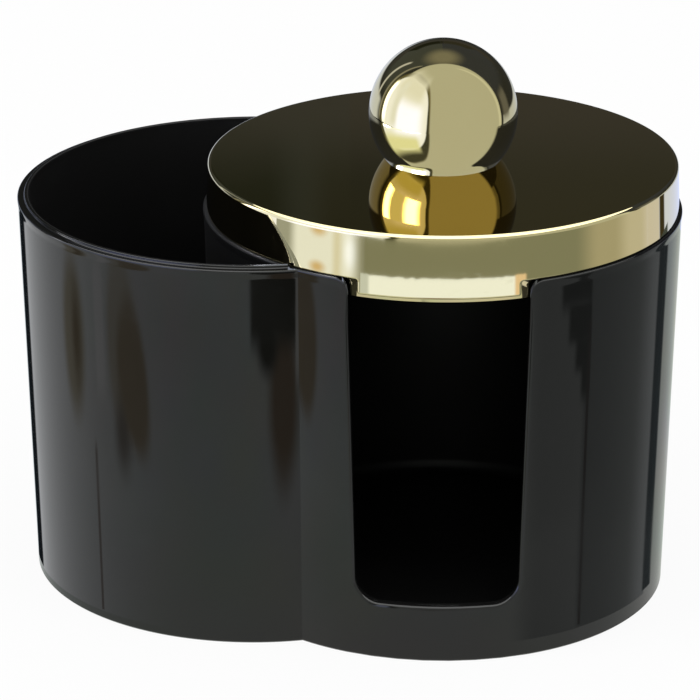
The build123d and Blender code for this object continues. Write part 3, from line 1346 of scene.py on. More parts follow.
@dataclass
class BallKnob:
    """The plated ball, cut flat where it stands on the lid and bored for its insert."""

    axis_x: float  # place of the knob's axis along X
    seat: float  # height of the lid's top
    radius: float = 13.9
    centre_lift: float = 9.0  # height of its centre above the lid
    bore_radius: float = 2.8
    bore_depth: float = 10.3
    columns: int = 160  # number of columns round the ball
    rows: int = 110  # number of rows from its top to its flat

    def build(self, finish: Material) -> Object:
        """Makes the ball.

        Args:
            finish: Its material.

        Returns:
            The piece.
        """
        sizes = named_sizes(self, "seat", "radius", "centre_lift", "bore_radius", "bore_depth")
        shape = TurnedShape("turned_ball", sizes)
        seat, ball, lift, bore, depth = shape.size_outputs
        centre = shape.math("ADD", seat, lift)
        slope = shape.math("ARCSINE", shape.math("DIVIDE", lift, ball))
        cut = shape.math("ADD", slope, math.pi / 2)
        shape.arc((0.0, centre), ball, 0.0, cut, self.rows)
        foot = shape.math("MULTIPLY", ball, shape.math("COSINE", slope))
        bore_end = shape.math("ADD", seat, depth)
        shape.outline((foot, seat), (bore, seat), (bore, bore_end), (0.0, bore_end))
        shape.close()
        return shape.make("ball_knob", self.axis_x, self.columns, finish)


@dataclass
class KnobFixing:
    """The screw, washer and brass insert that hold the knob from under the lid."""

    axis_x: float  # place of the screw's axis along X
    insert_face: float = 84.0  # height of the insert's lower end
    washer_face: float = 79.9  # height of the washer's lower face
    insert_radius: float = 2.85  # radius over the insert's knurls
    insert_bore: float = 2.06  # radius of its bore
    insert_length: float = 8.0
    knurls: int = 24
    knurl_depth: float = 0.14  # depth between its knurls
    knurl_columns: int = 4  # number of columns for each knurl
    washer_radius: float = 5.0
    washer_hole: float = 2.15
    washer_thickness: float = 0.8
    screw_radius: float = 2.0  # radius over the screw's thread
    thread_depth: float = 0.38
    pitch: float = 0.7
    pitch_rows: int = 8  # number of rows for each turn of it
    shank_length: float = 11.1  # length under its head
    head_radius: float = 4.0
    head_height: float = 2.4
    head_rounding: float = 0.8
    recess_arm: float = 1.15  # width of the cross recess's arms
    recess_span: float = 4.4  # width across the cross recess
    recess_depth: float = 1.3
    columns: int = 72  # number of columns round each piece

    def build_insert(self, finish: Material) -> Object:
        """Makes the brass insert with its straight knurls.

        Args:
            finish: Its material.

        Returns:
            The piece.
        """
        ends = ("insert_face", "insert_length")
        sizes = named_sizes(self, *ends, "insert_radius", "knurl_depth", "insert_bore")
        shape = TurnedShape("knurled_insert", sizes)
        low, length, radius, depth, bore = shape.size_outputs
        high = shape.math("ADD", low, length)
        phase = shape.math("MULTIPLY", shape.turn, self.knurls / math.tau)
        outside = shape.ridges(radius, depth, phase)
        shape.straight((outside, low), (outside, high), 8)
        shape.outline((outside, high), (bore, high), (bore, low), (outside, low))
        shape.close()
        columns = self.knurl_columns * self.knurls
        return shape.make("threaded_insert", self.axis_x, columns, finish)

    def build_washer(self, finish: Material) -> Object:
        """Makes the washer.

        Args:
            finish: Its material.

        Returns:
            The piece.
        """
        faces = ("washer_face", "washer_thickness")
        sizes = named_sizes(self, *faces, "washer_radius", "washer_hole")
        shape = TurnedShape("plain_washer", sizes)
        low, thickness, radius, hole = shape.size_outputs
        high = shape.math("ADD", low, thickness)
        shape.outline((radius, low), (radius, high), (hole, high), (hole, low), (radius, low))
        shape.close()
        return shape.make("flat_washer", self.axis_x, self.columns, finish)

    def build_screw(self, finish: Material) -> Object:
        """Makes the screw with its thread, rounded head and cross recess.

        Args:
            finish: Its material.

        Returns:
            The piece.
        """
        head = ("washer_face", "head_radius", "head_height", "head_rounding")
        shank = ("screw_radius", "thread_depth", "pitch", "shank_length")
        sizes = named_sizes(self, *head, *shank, "recess_arm", "recess_span", "recess_depth")
        shape = TurnedShape("pan_screw", sizes)
        seat, head, tall, rounding, crest, depth, pitch, length, *recess = shape.size_outputs
        arm, span, deep = recess
        half_arm, half_span = (shape.math("DIVIDE", width, 2.0) for width in (arm, span))
        bottom, tip = shape.math("SUBTRACT", seat, tall), shape.math("ADD", seat, length)
        turns = shape.math("DIVIDE", shape.turn, math.tau)

        def thread(rise: Link) -> Socket:
            """Radius of the thread at a height over the head's seat."""
            phase = shape.math("SUBTRACT", shape.math("DIVIDE", rise, pitch), turns)
            return shape.ridges(crest, depth, phase)

        rise = shape.math("MULTIPLY", shape.share, length)
        rows = round(self.shank_length / self.pitch * self.pitch_rows)
        shape.strip(rows, thread(rise), shape.math("ADD", seat, rise))
        shape.straight((thread(0.0), seat), (head, seat))
        shape.straight((thread(length), tip), (0.0, tip))
        side = shape.math("ADD", bottom, rounding)
        rim = shape.math("SUBTRACT", head, rounding)
        shape.straight((head, seat), (head, side))
        shape.arc((rim, side), rounding, math.pi / 2, math.pi, 8)
        quarter = shape.math("PINGPONG", shape.turn, math.pi / 4)
        least_sine = 1e-6
        sine = shape.math("MAXIMUM", shape.math("SINE", quarter), least_sine)
        arm_end = shape.math("DIVIDE", half_span, shape.math("COSINE", quarter))
        cross = shape.math("MINIMUM", arm_end, shape.math("DIVIDE", half_arm, sine))
        ceiling = shape.math("ADD", bottom, deep)
        shape.outline((rim, bottom), (cross, bottom), (cross, ceiling), (0.0, ceiling))
        shape.close()
        return shape.make("knob_fixing_screw", self.axis_x, self.columns, finish)


class SurfaceEffects:
    """Shader node groups that the finishes share. Each puts out a height, a mask or a value."""

    def __init__(self) -> None:
        """Makes the groups."""
        self.ripple = self._ripple()
        self.marks = self._marks()
        self.rings = self._rings()

    @staticmethod
    def _start(
        name: str, inputs: Mapping[str, float], output: str
    ) -> tuple[Graph, NodeOutputs]:
        """Starts a group with float inputs and one float output.

        Args:
            name: Name of the group.
            inputs: Its inputs and their usual values.
            output: Name of its output.

        Returns:
            The group's graph and the outputs of its input node.
        """
        graph = Graph(bpy.data.node_groups.new(name, "ShaderNodeTree"))
        new_socket = graph.tree.interface.new_socket
        for key, value in inputs.items():
            item = new_socket(key, in_out="INPUT", socket_type="NodeSocketFloat")
            item.default_value = value
        new_socket(output, in_out="OUTPUT", socket_type="NodeSocketFloat")
        return graph, graph.add("NodeGroupInput").outputs

    def _ripple(self) -> bpy.types.NodeTree:
        """Slow unevenness of a moulding's gloss, as a height in metres.

        Returns:
            The group.
        """
        sizes = {"Waves per Metre": 30.0, "Depth": 2e-6}
        graph, inputs = self._start("moulding_ripple", sizes, "Height")
        noise = {"Vector": graph.place(), "Scale": inputs[0], "Detail": 1.5, "Roughness": 0.35}
        wave = graph.add("ShaderNodeTexNoise", noise).outputs[0]
        graph.add("NodeGroupOutput", {0: graph.math("MULTIPLY", wave, inputs[1])})
        return graph.tree

    def _marks(self) -> bpy.types.NodeTree:
        """Mask of faint wipe marks and smudges from handling, from 0 to 1.

        Returns:
            The group.
        """
        sizes = {"Smudges per Metre": 25.0, "Wipes": 0.4}
        graph, inputs = self._start("handling_marks", sizes, "Mask")
        noise = {"Vector": graph.place(), "Scale": inputs[0], "Detail": 4.0}
        smudge = graph.add("ShaderNodeTexNoise", noise).outputs[0]
        turn, scale = (0.5, 0.9, 0.3), (60.0, 900.0, 900.0)
        stretch = {"Vector": noise["Vector"], "Rotation": turn, "Scale": scale}
        stretched = graph.add("ShaderNodeMapping", stretch).outputs[0]
        noise = {"Vector": stretched, "Scale": 1.0, "Detail": 2.0}
        wipe = graph.add("ShaderNodeTexNoise", noise).outputs[0]
        fine = graph.math("MULTIPLY", graph.soft_step(wipe, 0.6, 0.75), inputs[1])
        mask = graph.math("ADD", graph.soft_step(smudge, 0.48, 0.72), fine, clamp=True)
        graph.add("NodeGroupOutput", {0: mask})
        return graph.tree

    def _rings(self) -> bpy.types.NodeTree:
        """Tool rings of a turned piece, round an upright axis, as a height in metres.

        Returns:
            The group.
        """
        sizes = {"Axis X": 0.0, "Rings per Metre": 4000.0, "Depth": 4e-6}
        graph, inputs = self._start("turned_rings", sizes, "Height")
        place = graph.parts(graph.place())
        spoke = graph.joined(graph.math("SUBTRACT", place[0], inputs[0]), place[1])
        reach = graph.math("ADD", graph.length(spoke), place[2])
        phase = graph.math("MULTIPLY", reach, inputs[1])
        ring = graph.math("PINGPONG", phase, 1.0)
        graph.add("NodeGroupOutput", {0: graph.math("MULTIPLY", ring, inputs[2])})
        return graph.tree


@dataclass(frozen=True)
class Finish:
    """A finish of the container's pieces."""

    slot: Slot
    colour: Colour
    worn_colour: Colour  # its colour under the marks
    roughness: float  # its roughness where it is clean
    marked_roughness: float  # its roughness under the marks
    metallic: bool  # whether it is metal or plating
    ripple_scale: float  # waves of unevenness per metre
    ripple_depth: float  # their height in metres
    ring_depth: float = 0.0  # height of tool rings in metres, or 0 for none
    ring_axis: float = 0.0  # place of the rings' axis along X, in millimetres
    # outside of the lidded cup, where the cups' insides are less polished
    cup_outside: Wall | None = None
    inside_depths: tuple[float, float] = (1.6, 1.85)  # depths into its wall over which that begins
    inside_roughness: float = 0.4  # the roughness there
    inside_specular: float = 0.25  # the specular level there
    specular: float = 0.5  # the specular level elsewhere
    # painted reflection: colours that stand in for the finish's own below and above the split,
    # where it is seen in a mirror. The second is only for the first mirror
    painted_reflection_colours: tuple[Colour, ...] = ()
    painted_reflection_split: float = 0.0  # height of the split in millimetres

    def inside_mask(self, graph: Graph, outside: Wall) -> Socket:
        """Mask of the cups' insides.

        Args:
            graph: The material's graph.
            outside: Outside of the lidded cup. The open cup's is its mirror image across X.

        Returns:
            1 where the surface lies within a cup, and 0 on their outsides.
        """
        place = graph.parts(graph.place())
        radius = graph.math("MULTIPLY_ADD", place[2], outside.lean, outside.foot_radius * MM)
        within = []
        for axis_x in (-outside.axis_x * MM, outside.axis_x * MM):
            spoke = graph.joined(graph.math("SUBTRACT", place[0], axis_x), place[1])
            within.append(graph.math("SUBTRACT", radius, graph.length(spoke)))
        low, high = (depth * MM for depth in self.inside_depths)
        return graph.soft_step(graph.math("MAXIMUM", *within), low, high)

    def mirrored(self, graph: Graph, colour: Link) -> Socket:
        """Adds the painted reflection colours that the finish takes where it is seen in a mirror.

        Args:
            graph: The material's graph.
            colour: The finish's colour where it isn't seen in a mirror.

        Returns:
            The colour.
        """
        above = graph.math("GREATER_THAN", graph.parts(graph.place())[2], self.painted_reflection_split * MM)
        low, high = ((*c, 1.0) for c in self.painted_reflection_colours)
        mirrors = graph.light_path()["Glossy Depth"]
        once = graph.math("MULTIPLY", above, graph.math("LESS_THAN", mirrors, TWO_MIRRORS))
        seen = graph.math("GREATER_THAN", mirrors, ONE_MIRROR)
        return graph.mix_colour(seen, colour, graph.mix_colour(once, low, high))

    def material(self, effects: SurfaceEffects) -> Material:
        """Makes the finish's material.

        Args:
            effects: The shared shader groups.

        Returns:
            The material.
        """
        material, graph = new_material(self.slot.value)
        marks = graph.add("ShaderNodeGroup", node_tree=effects.marks).outputs[0]
        waves = {"Waves per Metre": self.ripple_scale, "Depth": self.ripple_depth}
        height = graph.add("ShaderNodeGroup", waves, node_tree=effects.ripple).outputs[0]
        if self.ring_depth:
            sizes = {"Axis X": self.ring_axis * MM, "Depth": self.ring_depth}
            rings = graph.add("ShaderNodeGroup", sizes, node_tree=effects.rings).outputs[0]
            height = graph.math("ADD", height, rings)
        bump = graph.add("ShaderNodeBump", {"Strength": 1.0, "Distance": 1.0, "Height": height})
        roughness = graph.between(marks, self.roughness, self.marked_roughness)
        colour = graph.mix_colour(marks, (*self.colour, 1.0), (*self.worn_colour, 1.0))
        specular = self.specular
        if self.cup_outside:
            inside = self.inside_mask(graph, self.cup_outside)
            roughness = graph.between(inside, roughness, self.inside_roughness)
            specular = graph.between(inside, specular, self.inside_specular)
        # painted reflection: the finish's colour where it is seen in a mirror
        if self.painted_reflection_colours:
            colour = self.mirrored(graph, colour)
        shader = graph.add(
            "ShaderNodeBsdfPrincipled",
            {
                "Base Color": colour,
                "Roughness": roughness,
                "Metallic": float(self.metallic),
                "Specular IOR Level": specular,
                "Normal": bump.outputs[0],
            },
        )
        graph.add("ShaderNodeOutputMaterial", {"Surface": shader.outputs[0]})
        return material


def sight_line(azimuth: float, elevation: float) -> tuple[float, ...]:
    """Unit vector towards an azimuth from the camera's side and an elevation, in degrees."""
    turn, rise = math.radians(azimuth + CAMERA_AZIMUTH), math.radians(elevation)
    return math.sin(turn) * math.cos(rise), -math.cos(turn) * math.cos(rise), math.sin(rise)


@dataclass(frozen=True)
class SkyPatch:
    """A soft-edged part of what mirrors see round the object."""

    left: float  # azimuth of its left side in degrees, from the camera's side towards the right
    right: float  # azimuth of its right side
    low: float  # elevation of its lower edge
    high: float  # elevation of its upper edge
    colour: Colour
    fade: float = 3.0  # degrees over which its sides fade, inside and outside of the edge
    rise_fade: float = 3.0  # degrees over which its lower and upper edges fade
    rounded: bool = False  # whether it is a rectangle with full, round corners
    seen_twice: bool = False  # whether only mirrors that are themselves seen in a mirror see it

    def cover(self, graph: Graph, sight: tuple[Socket, ...]) -> Socket:
        """Adds the nodes that say how much of a direction's light is the patch's.

        Args:
            graph: The graph to add to.
            sight: The direction, of unit length, its azimuth and its elevation in degrees.

        Returns:
            1 in the patch and 0 outside it.
        """
        spans = ((sight[1], self.left, self.right), (sight[2], self.low, self.high))
        if self.rounded:
            fullness, reach = 3.0, 0.0
            for at, low, high in spans:
                aside = graph.math("SUBTRACT", at, (low + high) / 2)
                aside = graph.math("ABSOLUTE", graph.math("DIVIDE", aside, (high - low) / 2))
                reach = graph.math("ADD", graph.math("POWER", aside, fullness), reach)
            fade = 2 * fullness * self.fade / (self.right - self.left)
            return graph.soft_step(reach, 1 + fade, 1 - fade)
        within = []
        for (at, low, high), fade in zip(spans, (self.fade, self.rise_fade)):
            start = graph.soft_step(at, low - fade, low + fade)
            end = graph.soft_step(at, high + fade, high - fade)
            within.append(graph.math("MULTIPLY", start, end))
        return graph.math("MULTIPLY", *within)


@dataclass(frozen=True)
class SkyCap:
    """A round, soft-edged part of what mirrors see round the object."""

    azimuth: float  # azimuth of its middle in degrees, from the camera's side towards the right
    elevation: float  # elevation of its middle
    reach: float  # degrees from its middle to its edge
    fade: float  # degrees over which its edge fades, inside and outside
    colour: Colour
    seen_twice: bool = False  # whether only mirrors that are themselves seen in a mirror see it

    def cover(self, graph: Graph, sight: tuple[Socket, ...]) -> Socket:
        """Adds the nodes that say how much of a direction's light is the cap's.

        Args:
            graph: The graph to add to.
            sight: The direction, of unit length, its azimuth and its elevation in degrees.

        Returns:
            1 in the cap and 0 outside it.
        """
        middle = sight_line(self.azimuth, self.elevation)
        angle = graph.math("DEGREES", graph.math("ARCCOSINE", graph.along(sight[0], middle)))
        return graph.soft_step(angle, self.reach + self.fade, self.reach - self.fade)


# painted reflection: a glowing card that only mirrors see
@dataclass(frozen=True)
class FloorCard:
    """A soft-edged glowing card on the floor that only mirrors see, placed by where a wall shows
    it.
    """

    wall: Wall  # the wall that shows it
    left: float  # angle of its left side on the wall, in degrees from the camera's side
    right: float  # angle of its right side
    low: float  # height at which the wall shows its near end
    high: float  # height at which the wall shows its far end
    colour: Colour
    # shares of its width over which its left and right edges fade, and of its length for its near
    # and far edges where these aren't sharp. A single share makes it an oval
    fades: tuple[float, ...]


@dataclass
class Studio:
    """The pale floor, the soft light, what the gloss mirrors and the camera."""

    # what mirrors see round the object, over the dark of the room
    sky: tuple[SkyPatch | SkyCap, ...]
    cards: tuple[FloorCard, ...]
    eye: Place  # place that the far floor is painted for, in millimetres
    camera_place: Place = (167.54, -737.59, 336.07)  # place of the camera in millimetres
    camera_elevation: float = 21.138  # height of the camera's line of sight above the horizon
    focal_pixels: float = 4236.3  # distance of the picture plane, in pixels of a picture 700 wide
    picture_pixels: int = 700  # width of the picture that it is given for
    floor_radius: float = 5000.0
    floor_colour: Colour = (0.86, 0.86, 0.86)
    floor_glow: float = 0.92  # share of the floor's white that the object's shadow doesn't darken
    floor_mirrored: Colour = (0.66, 0.69, 0.66)  # colour of the near floor in mirrors
    floor_mottle: float = 0.09  # how far that colour varies up and down
    mottle_scale: float = 14.0  # scale of that, per metre
    # distances from the eye's axis over which the near floor ends, in millimetres
    near_floor: tuple[float, float] = (288.0, 296.0)
    # distance up to which mirrors see the cards, which leaves the ball out
    card_reach: float = 309.0
    # height of the first card, and what each card lies above the one before
    card_lift: tuple[float, float] = (0.2, 0.1)
    card_steps: int = 12  # number of steps along and across a card
    room: Colour = (0.03, 0.032, 0.033)  # colour of the sky in mirrors where no patch lies
    least_rise: float = 0.3  # least upward part of a direction that the lid's mirror sees
    soft_light: Colour = (0.8, 0.8, 0.8)  # colour of the light from all round
    overhead_size: float = 1300.0  # width of the lamp overhead
    overhead_height: float = 620.0  # its height
    overhead_power: float = 8.0  # its power in watts
    # the pieces that it lights, whose roundings mirror it
    edge_lit: bpy.types.Collection = field(
        default_factory=lambda: bpy.data.collections.new("edge_lit")
    )

    def build(self) -> None:
        """Makes the whole studio."""
        self.add_camera()
        self.add_floor()
        self.add_world()
        self.add_lamps()
        for number, card in enumerate(self.cards):
            self.add_card(card, number)
        bpy.context.scene.view_settings.view_transform = "Standard"

    def add_camera(self) -> None:
        """Puts the camera where the photograph was taken from."""
        back, right = Vector(sight_line(0.0, self.camera_elevation)), Vector(sight_line(90.0, 0.0))
        data = bpy.data.cameras.new("studio_camera")
        data.sensor_width = 36.0
        data.lens = self.focal_pixels * data.sensor_width / self.picture_pixels
        data.clip_start, data.clip_end = 0.01, 20.0
        camera = bpy.data.objects.new("studio_camera", data)
        spin = Matrix((right, back.cross(right), back)).transposed().to_4x4()
        camera.matrix_world = Matrix.Translation(Vector(self.camera_place) * MM) @ spin
        bpy.context.scene.collection.objects.link(camera)
        bpy.context.scene.camera = camera

    @staticmethod
    def stage_piece(name: str, mesh: bpy.types.Mesh, material: Material) -> Object:
        """Adds a piece of the studio.

        Args:
            name: Its name.
            mesh: Its mesh.
            material: Its material.

        Returns:
            The piece.
        """
        mesh.materials.append(material)
        made = bpy.data.objects.new(name, mesh)
        bpy.context.scene.collection.objects.link(made)
        return made

    @staticmethod
    def glow_over(graph: Graph, under: bpy.types.Node, share: Link, colour: Link) -> None:
        """Ends a material in a glow that covers a share of the shader under it.

        Args:
            graph: The material's graph.
            under: The shader under the glow.
            share: The share that the glow covers.
            colour: Its colour.
        """
        glow = graph.add("ShaderNodeEmission", {"Color": colour, "Strength": 1.0})
        layers = {0: share, 1: under.outputs[0], 2: glow.outputs[0]}
        mixed = graph.add("ShaderNodeMixShader", layers).outputs[0]
        graph.add("ShaderNodeOutputMaterial", {"Surface": mixed})

    def add_floor(self) -> None:
        """Makes the pale floor: it glows white and keeps a faint soft shadow."""
        material, graph = new_material("studio_floor")
        path, spot = graph.light_path(), graph.place()
        noise = {"Vector": spot, "Scale": self.mottle_scale, "Detail": 2.0}
        cloud = graph.add("ShaderNodeTexNoise", noise).outputs["Color"]
        mottle = self.floor_mottle
        swing = graph.vector("MULTIPLY_ADD", cloud, (mottle * 2,) * 3, (-mottle,) * 3)
        near = graph.vector("ADD", swing, self.floor_mirrored)
        sight = graph.vector("SUBTRACT", spot, tuple(c * MM for c in self.eye))
        reach = graph.length(graph.vector("MULTIPLY", sight, (1.0, 1.0, 0.0)))
        away = graph.soft_step(reach, *(c * MM for c in self.near_floor))
        far = self.surroundings(graph, graph.vector("NORMALIZE", sight))
        mirrored = path["Is Glossy Ray"]
        shade = graph.mix_colour(mirrored, WHITE, graph.mix_colour(away, near, far))
        steady = graph.math("MAXIMUM", mirrored, path["Is Transmission Ray"])
        seen = graph.math("MULTIPLY", path["Is Camera Ray"], self.floor_glow)
        matte = graph.add("ShaderNodeBsdfDiffuse", {"Color": (*self.floor_colour, 1.0)})
        self.glow_over(graph, matte, graph.math("MAXIMUM", steady, seen), shade)
        mesh = bpy.data.meshes.new("studio_floor")
        corners, reach = 64, self.floor_radius * MM
        turns = [math.tau * n / corners for n in range(corners)]
        ring = [(reach * math.cos(a), reach * math.sin(a), 0.0) for a in turns]
        mesh.from_pydata(ring, [], [tuple(range(corners))])
        self.stage_piece("studio_floor", mesh, material)

    def mirrored_places(self, wall: Wall, angles: Array, heights: Array) -> Array:
        """Places on the floor that the camera sees mirrored in a wall.

        Args:
            wall: The wall.
            angles: Angles on the wall, in degrees from the camera's side.
            heights: Heights on the wall.

        Returns:
            The places on the floor.
        """
        turn = np.radians(angles + CAMERA_AZIMUTH - 90.0)
        points, normals = wall.points(turn, heights), wall.normals(turn)
        sight = points - np.array(self.camera_place)
        away = sight - 2 * np.sum(sight * normals, axis=-1, keepdims=True) * normals
        return points + away * (points[..., 2:] / -away[..., 2:])

    def add_card(self, card: FloorCard, number: int) -> None:
        """Lays one soft-edged glowing card on the floor, a painted reflection.

        Args:
            card: The card.
            number: Its number, which lifts it a little over the ones before.
        """
        name = f"floor_card_{number:02d}"
        material, graph = new_material(name)
        spot = graph.add("ShaderNodeTexCoord").outputs["UV"]
        if len(card.fades) == 1:
            centred = graph.vector("MULTIPLY_ADD", spot, (2.0, 2.0, 0.0), (-1.0, -1.0, 0.0))
            cover = graph.soft_step(graph.length(centred), 1.0, 1.0 - card.fades[0])
        else:
            place, sharp, cover = graph.parts(spot), 0.001, 1.0
            for side, fade in enumerate((*card.fades, 0.0, 0.0)[:4]):
                start = side % 2
                stop = start + (1 - 2 * start) * max(fade, sharp)
                share = graph.soft_step(place[side // 2], start, stop)
                cover = graph.math("MULTIPLY", cover, share)
        near = graph.math("LESS_THAN", graph.light_path()["Ray Length"], self.card_reach * MM)
        clear = graph.add("ShaderNodeBsdfTransparent")
        cover = graph.math("MULTIPLY", cover, near)
        self.glow_over(graph, clear, cover, (*card.colour, 1.0))
        steps = self.card_steps
        across, along = np.meshgrid(shares(steps), shares(steps))
        angles = card.left + (card.right - card.left) * across
        heights = card.low + (card.high - card.low) * along
        spots = self.mirrored_places(card.wall, angles, heights)
        spots[..., 2] = self.card_lift[0] + self.card_lift[1] * number
        corner = np.arange((steps + 1) * steps).reshape(steps, steps + 1)[:, :-1].ravel()
        faces = np.stack((corner, corner + 1, corner + steps + 2, corner + steps + 1), -1)
        mesh = bpy.data.meshes.new(name)
        mesh.from_pydata((spots.reshape(-1, 3) * MM).tolist(), [], faces.tolist())
        layer = mesh.uv_layers.new(name="card")
        uv = np.stack((across, along), -1).reshape(-1, 2)[faces.ravel()]
        layer.data.foreach_set("uv", uv.ravel())
        made = self.stage_piece(name, mesh, material)
        made.visible_camera = made.visible_diffuse = made.visible_shadow = False
        made.visible_transmission = False

    def surroundings(self, graph: Graph, direction: Link) -> Socket:
        """Adds the nodes that give what mirrors see in a direction.

        What a mirror sees in the lid is laid out as one picture that goes on below the lid's edge.

        Args:
            graph: The graph to add to.
            direction: The direction, of unit length.

        Returns:
            The colour.
        """
        place = graph.parts(direction)
        rise = graph.math("MAXIMUM", place[2], self.least_rise)
        twice = graph.math("GREATER_THAN", graph.light_path()["Glossy Depth"], TWO_MIRRORS)
        upward = graph.between(twice, place[2], graph.math("MULTIPLY", rise, -1.0))
        direction = graph.joined(place[0], place[1], upward)
        aside, ahead = (graph.along(direction, sight_line(side, 0.0)) for side in (90.0, 0.0))
        azimuth = graph.math("DEGREES", graph.math("ARCTAN2", aside, ahead))
        elevation = graph.math("DEGREES", graph.math("ARCSINE", upward))
        sight = (direction, azimuth, elevation)
        colour = graph.add("ShaderNodeRGB").outputs[0]
        colour.default_value = (*self.room, 1.0)
        for patch in self.sky:
            cover = patch.cover(graph, sight)
            if patch.seen_twice:
                cover = graph.math("MULTIPLY", cover, twice)
            colour = graph.mix_colour(cover, colour, (*patch.colour, 1.0))
        return colour

    def add_world(self) -> None:
        """Makes the soft light and the sky that mirrors see, white behind the object."""
        world = bpy.data.worlds.new("studio")
        world.use_nodes = True
        world.node_tree.nodes.clear()
        bpy.context.scene.world = world
        graph = Graph(world.node_tree)
        colour = self.surroundings(graph, graph.add("ShaderNodeTexCoord").outputs["Generated"])
        path = graph.light_path()
        mirrored = graph.mix_colour(path["Is Glossy Ray"], (*self.soft_light, 1.0), colour)
        seen = graph.math("MAXIMUM", path["Is Camera Ray"], path["Is Transmission Ray"])
        final = graph.mix_colour(seen, mirrored, WHITE)
        background = graph.add("ShaderNodeBackground", {"Color": final, "Strength": 1.0}).outputs[0]
        graph.add("ShaderNodeOutputWorld", {"Surface": background})

    @staticmethod
    def add_lamp(name: str, place: Vector, size: float, power: float) -> Object:
        """Hangs a round soft lamp that the camera doesn't see and that faces down.

        Args:
            name: Its name.
            place: Its place in millimetres.
            size: Its width in millimetres.
            power: Its power in watts.

        Returns:
            The lamp.
        """
        data = bpy.data.lights.new(name, "AREA")
        data.shape, data.size, data.energy = "DISK", size * MM, power
        lamp = bpy.data.objects.new(name, data)
        lamp.location = place * MM
        lamp.visible_camera = False
        bpy.context.scene.collection.objects.link(lamp)
        return lamp

    def add_lamps(self) -> None:
        """Hangs two lamps that mirrors don't see, and one overhead for the edges' highlights."""
        for name, place, size, power in (
            ("left_softbox", (-700.0, -500.0, 900.0), 700.0, 4.5),
            ("right_softbox", (800.0, -200.0, 700.0), 600.0, 2.5),
        ):
            lamp = self.add_lamp(name, Vector(place), size, power)
            lamp.rotation_euler = (-lamp.location).to_track_quat("-Z", "Y").to_euler()
            lamp.visible_glossy = False
        place = Vector((*self.eye[:2], self.overhead_height))
        lamp = self.add_lamp("overhead_softbox", place, self.overhead_size, self.overhead_power)
        lamp.light_linking.receiver_collection = self.edge_lit
        lamp.data.use_nodes = True
        graph = Graph(lamp.data.node_tree)
        strength = graph.tree.nodes["Emission"].inputs["Strength"]
        mirrors = graph.light_path()["Glossy Depth"]
        graph.tree.links.new(graph.math("LESS_THAN", mirrors, TWO_MIRRORS), strength)


def attach(piece: Object, body: Body, slot: Slot, node: str) -> None:
    """Fixes a piece to its body, hides the solid that it replaces, and reports it with its slot.

    Args:
        piece: The piece.
        body: The body that it rides on.
        slot: Its material slot.
        node: Name of the solid that it replaces.
    """
    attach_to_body(piece, body.value)
    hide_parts(node)
    log.info("%s rides %s as %s for %s", piece.name, body.value, slot.value, node)


def room_sky() -> tuple[SkyPatch | SkyCap, ...]:
    """What the plated ball and lid mirror, over the dark room.

    Returns:
        Its soft parts, each laid over the ones before.
    """
    khaki, white, shade = (0.55, 0.57, 0.53), (1.14, 1.24, 1.62), (0.06, 0.062, 0.045)
    below, spot = (0.0226, 0.0234, 0.024), (15.0, 15.0, 16.0)
    rows = (  # left, right, low, high, colour, fade, rise fade, rounded, seen twice
        (100, 200, 15, 75, (0.041, 0.046, 0.062), 3, 8),
        (-200, -112, 12, 75, (0.058, 0.066, 0.07), 3, 8),
        (-200, -95, -75, -16, below, 3, 2),
        SkyCap(180, 68, 16, 10, (0.22, 0.215, 0.18)),
        (103, 172, -17, -7, (0.6, 0.65, 0.75), 2, 1.5),
        (104, 120, -10, 14, (0.15, 0.15, 0.15), 4, 5),
        (-175, -121, -17, 2, (0.68, 0.75, 0.95), 6, 2.5),
        (-134.5, -130.5, 0, 45, (0.62, 0.65, 0.75), 1.2),
        (-117.5, -114, -12, 62, (0.3, 0.3, 0.28), 1.2),
        (160, 178.9, 17, 30, (0.0335, 0.0326, 0.0242), 0.8),
        (178.9, 200, 17, 30, (0.0225, 0.0225, 0.0155), 0.8),
        (-200, -179.3, 17, 30, (0.0225, 0.0225, 0.0155), 0.5),
        (-179.3, -160, 17, 30, (0.0145, 0.016, 0.01), 0.5),
        (150, 200, 10, 18.3, (0.046, 0.044, 0.042), 4, 0.6),
        (-200, -150, 10, 18.3, (0.044, 0.044, 0.044), 4, 0.6),
        SkyCap(0, 0, 98, 1.0, khaki),
        (92.5, 97, -16, 72, (0.72, 0.75, 0.7), 1.5, 6),
        (91, 200, -63, -17, below, 3.5, 1.5),
        (-113, -22, -62, 61, (0.16, 0.15, 0.08), 2, 0, True),
        (-111.5, -22.5, -62, 51, shade, 2, 0, True),
        (-109, -26, -43, 52.5, white, 1.2, 0, True),
        (-98, -40, 26, 60, (0.96, 1.02, 1.15), 8, 14),
        (-84, -36, -22, 20, (1.4, 1.55, 2.6), 9, 10),
        (-106, -42, -45, -24, (0.94, 1.0, 0.72), 5, 7),
        (-90, -78, -14, 44, (0.98, 1.06, 1.28), 5, 9),
        (-108, -102, -10, 30, (4.0, 4.0, 4.0), 2, 5),
        (-88, -68, -17.6, -17, (1.3, 1.45, 1.6), 5, 0.1, False, True),
        (-105, -92, -17.6, -17, spot, 4, 0.1, False, True),
        (-62, -40, -17.6, -17, spot, 6, 0.1, False, True),
    )
    return tuple(row if isinstance(row, SkyCap) else SkyPatch(*row) for row in rows)


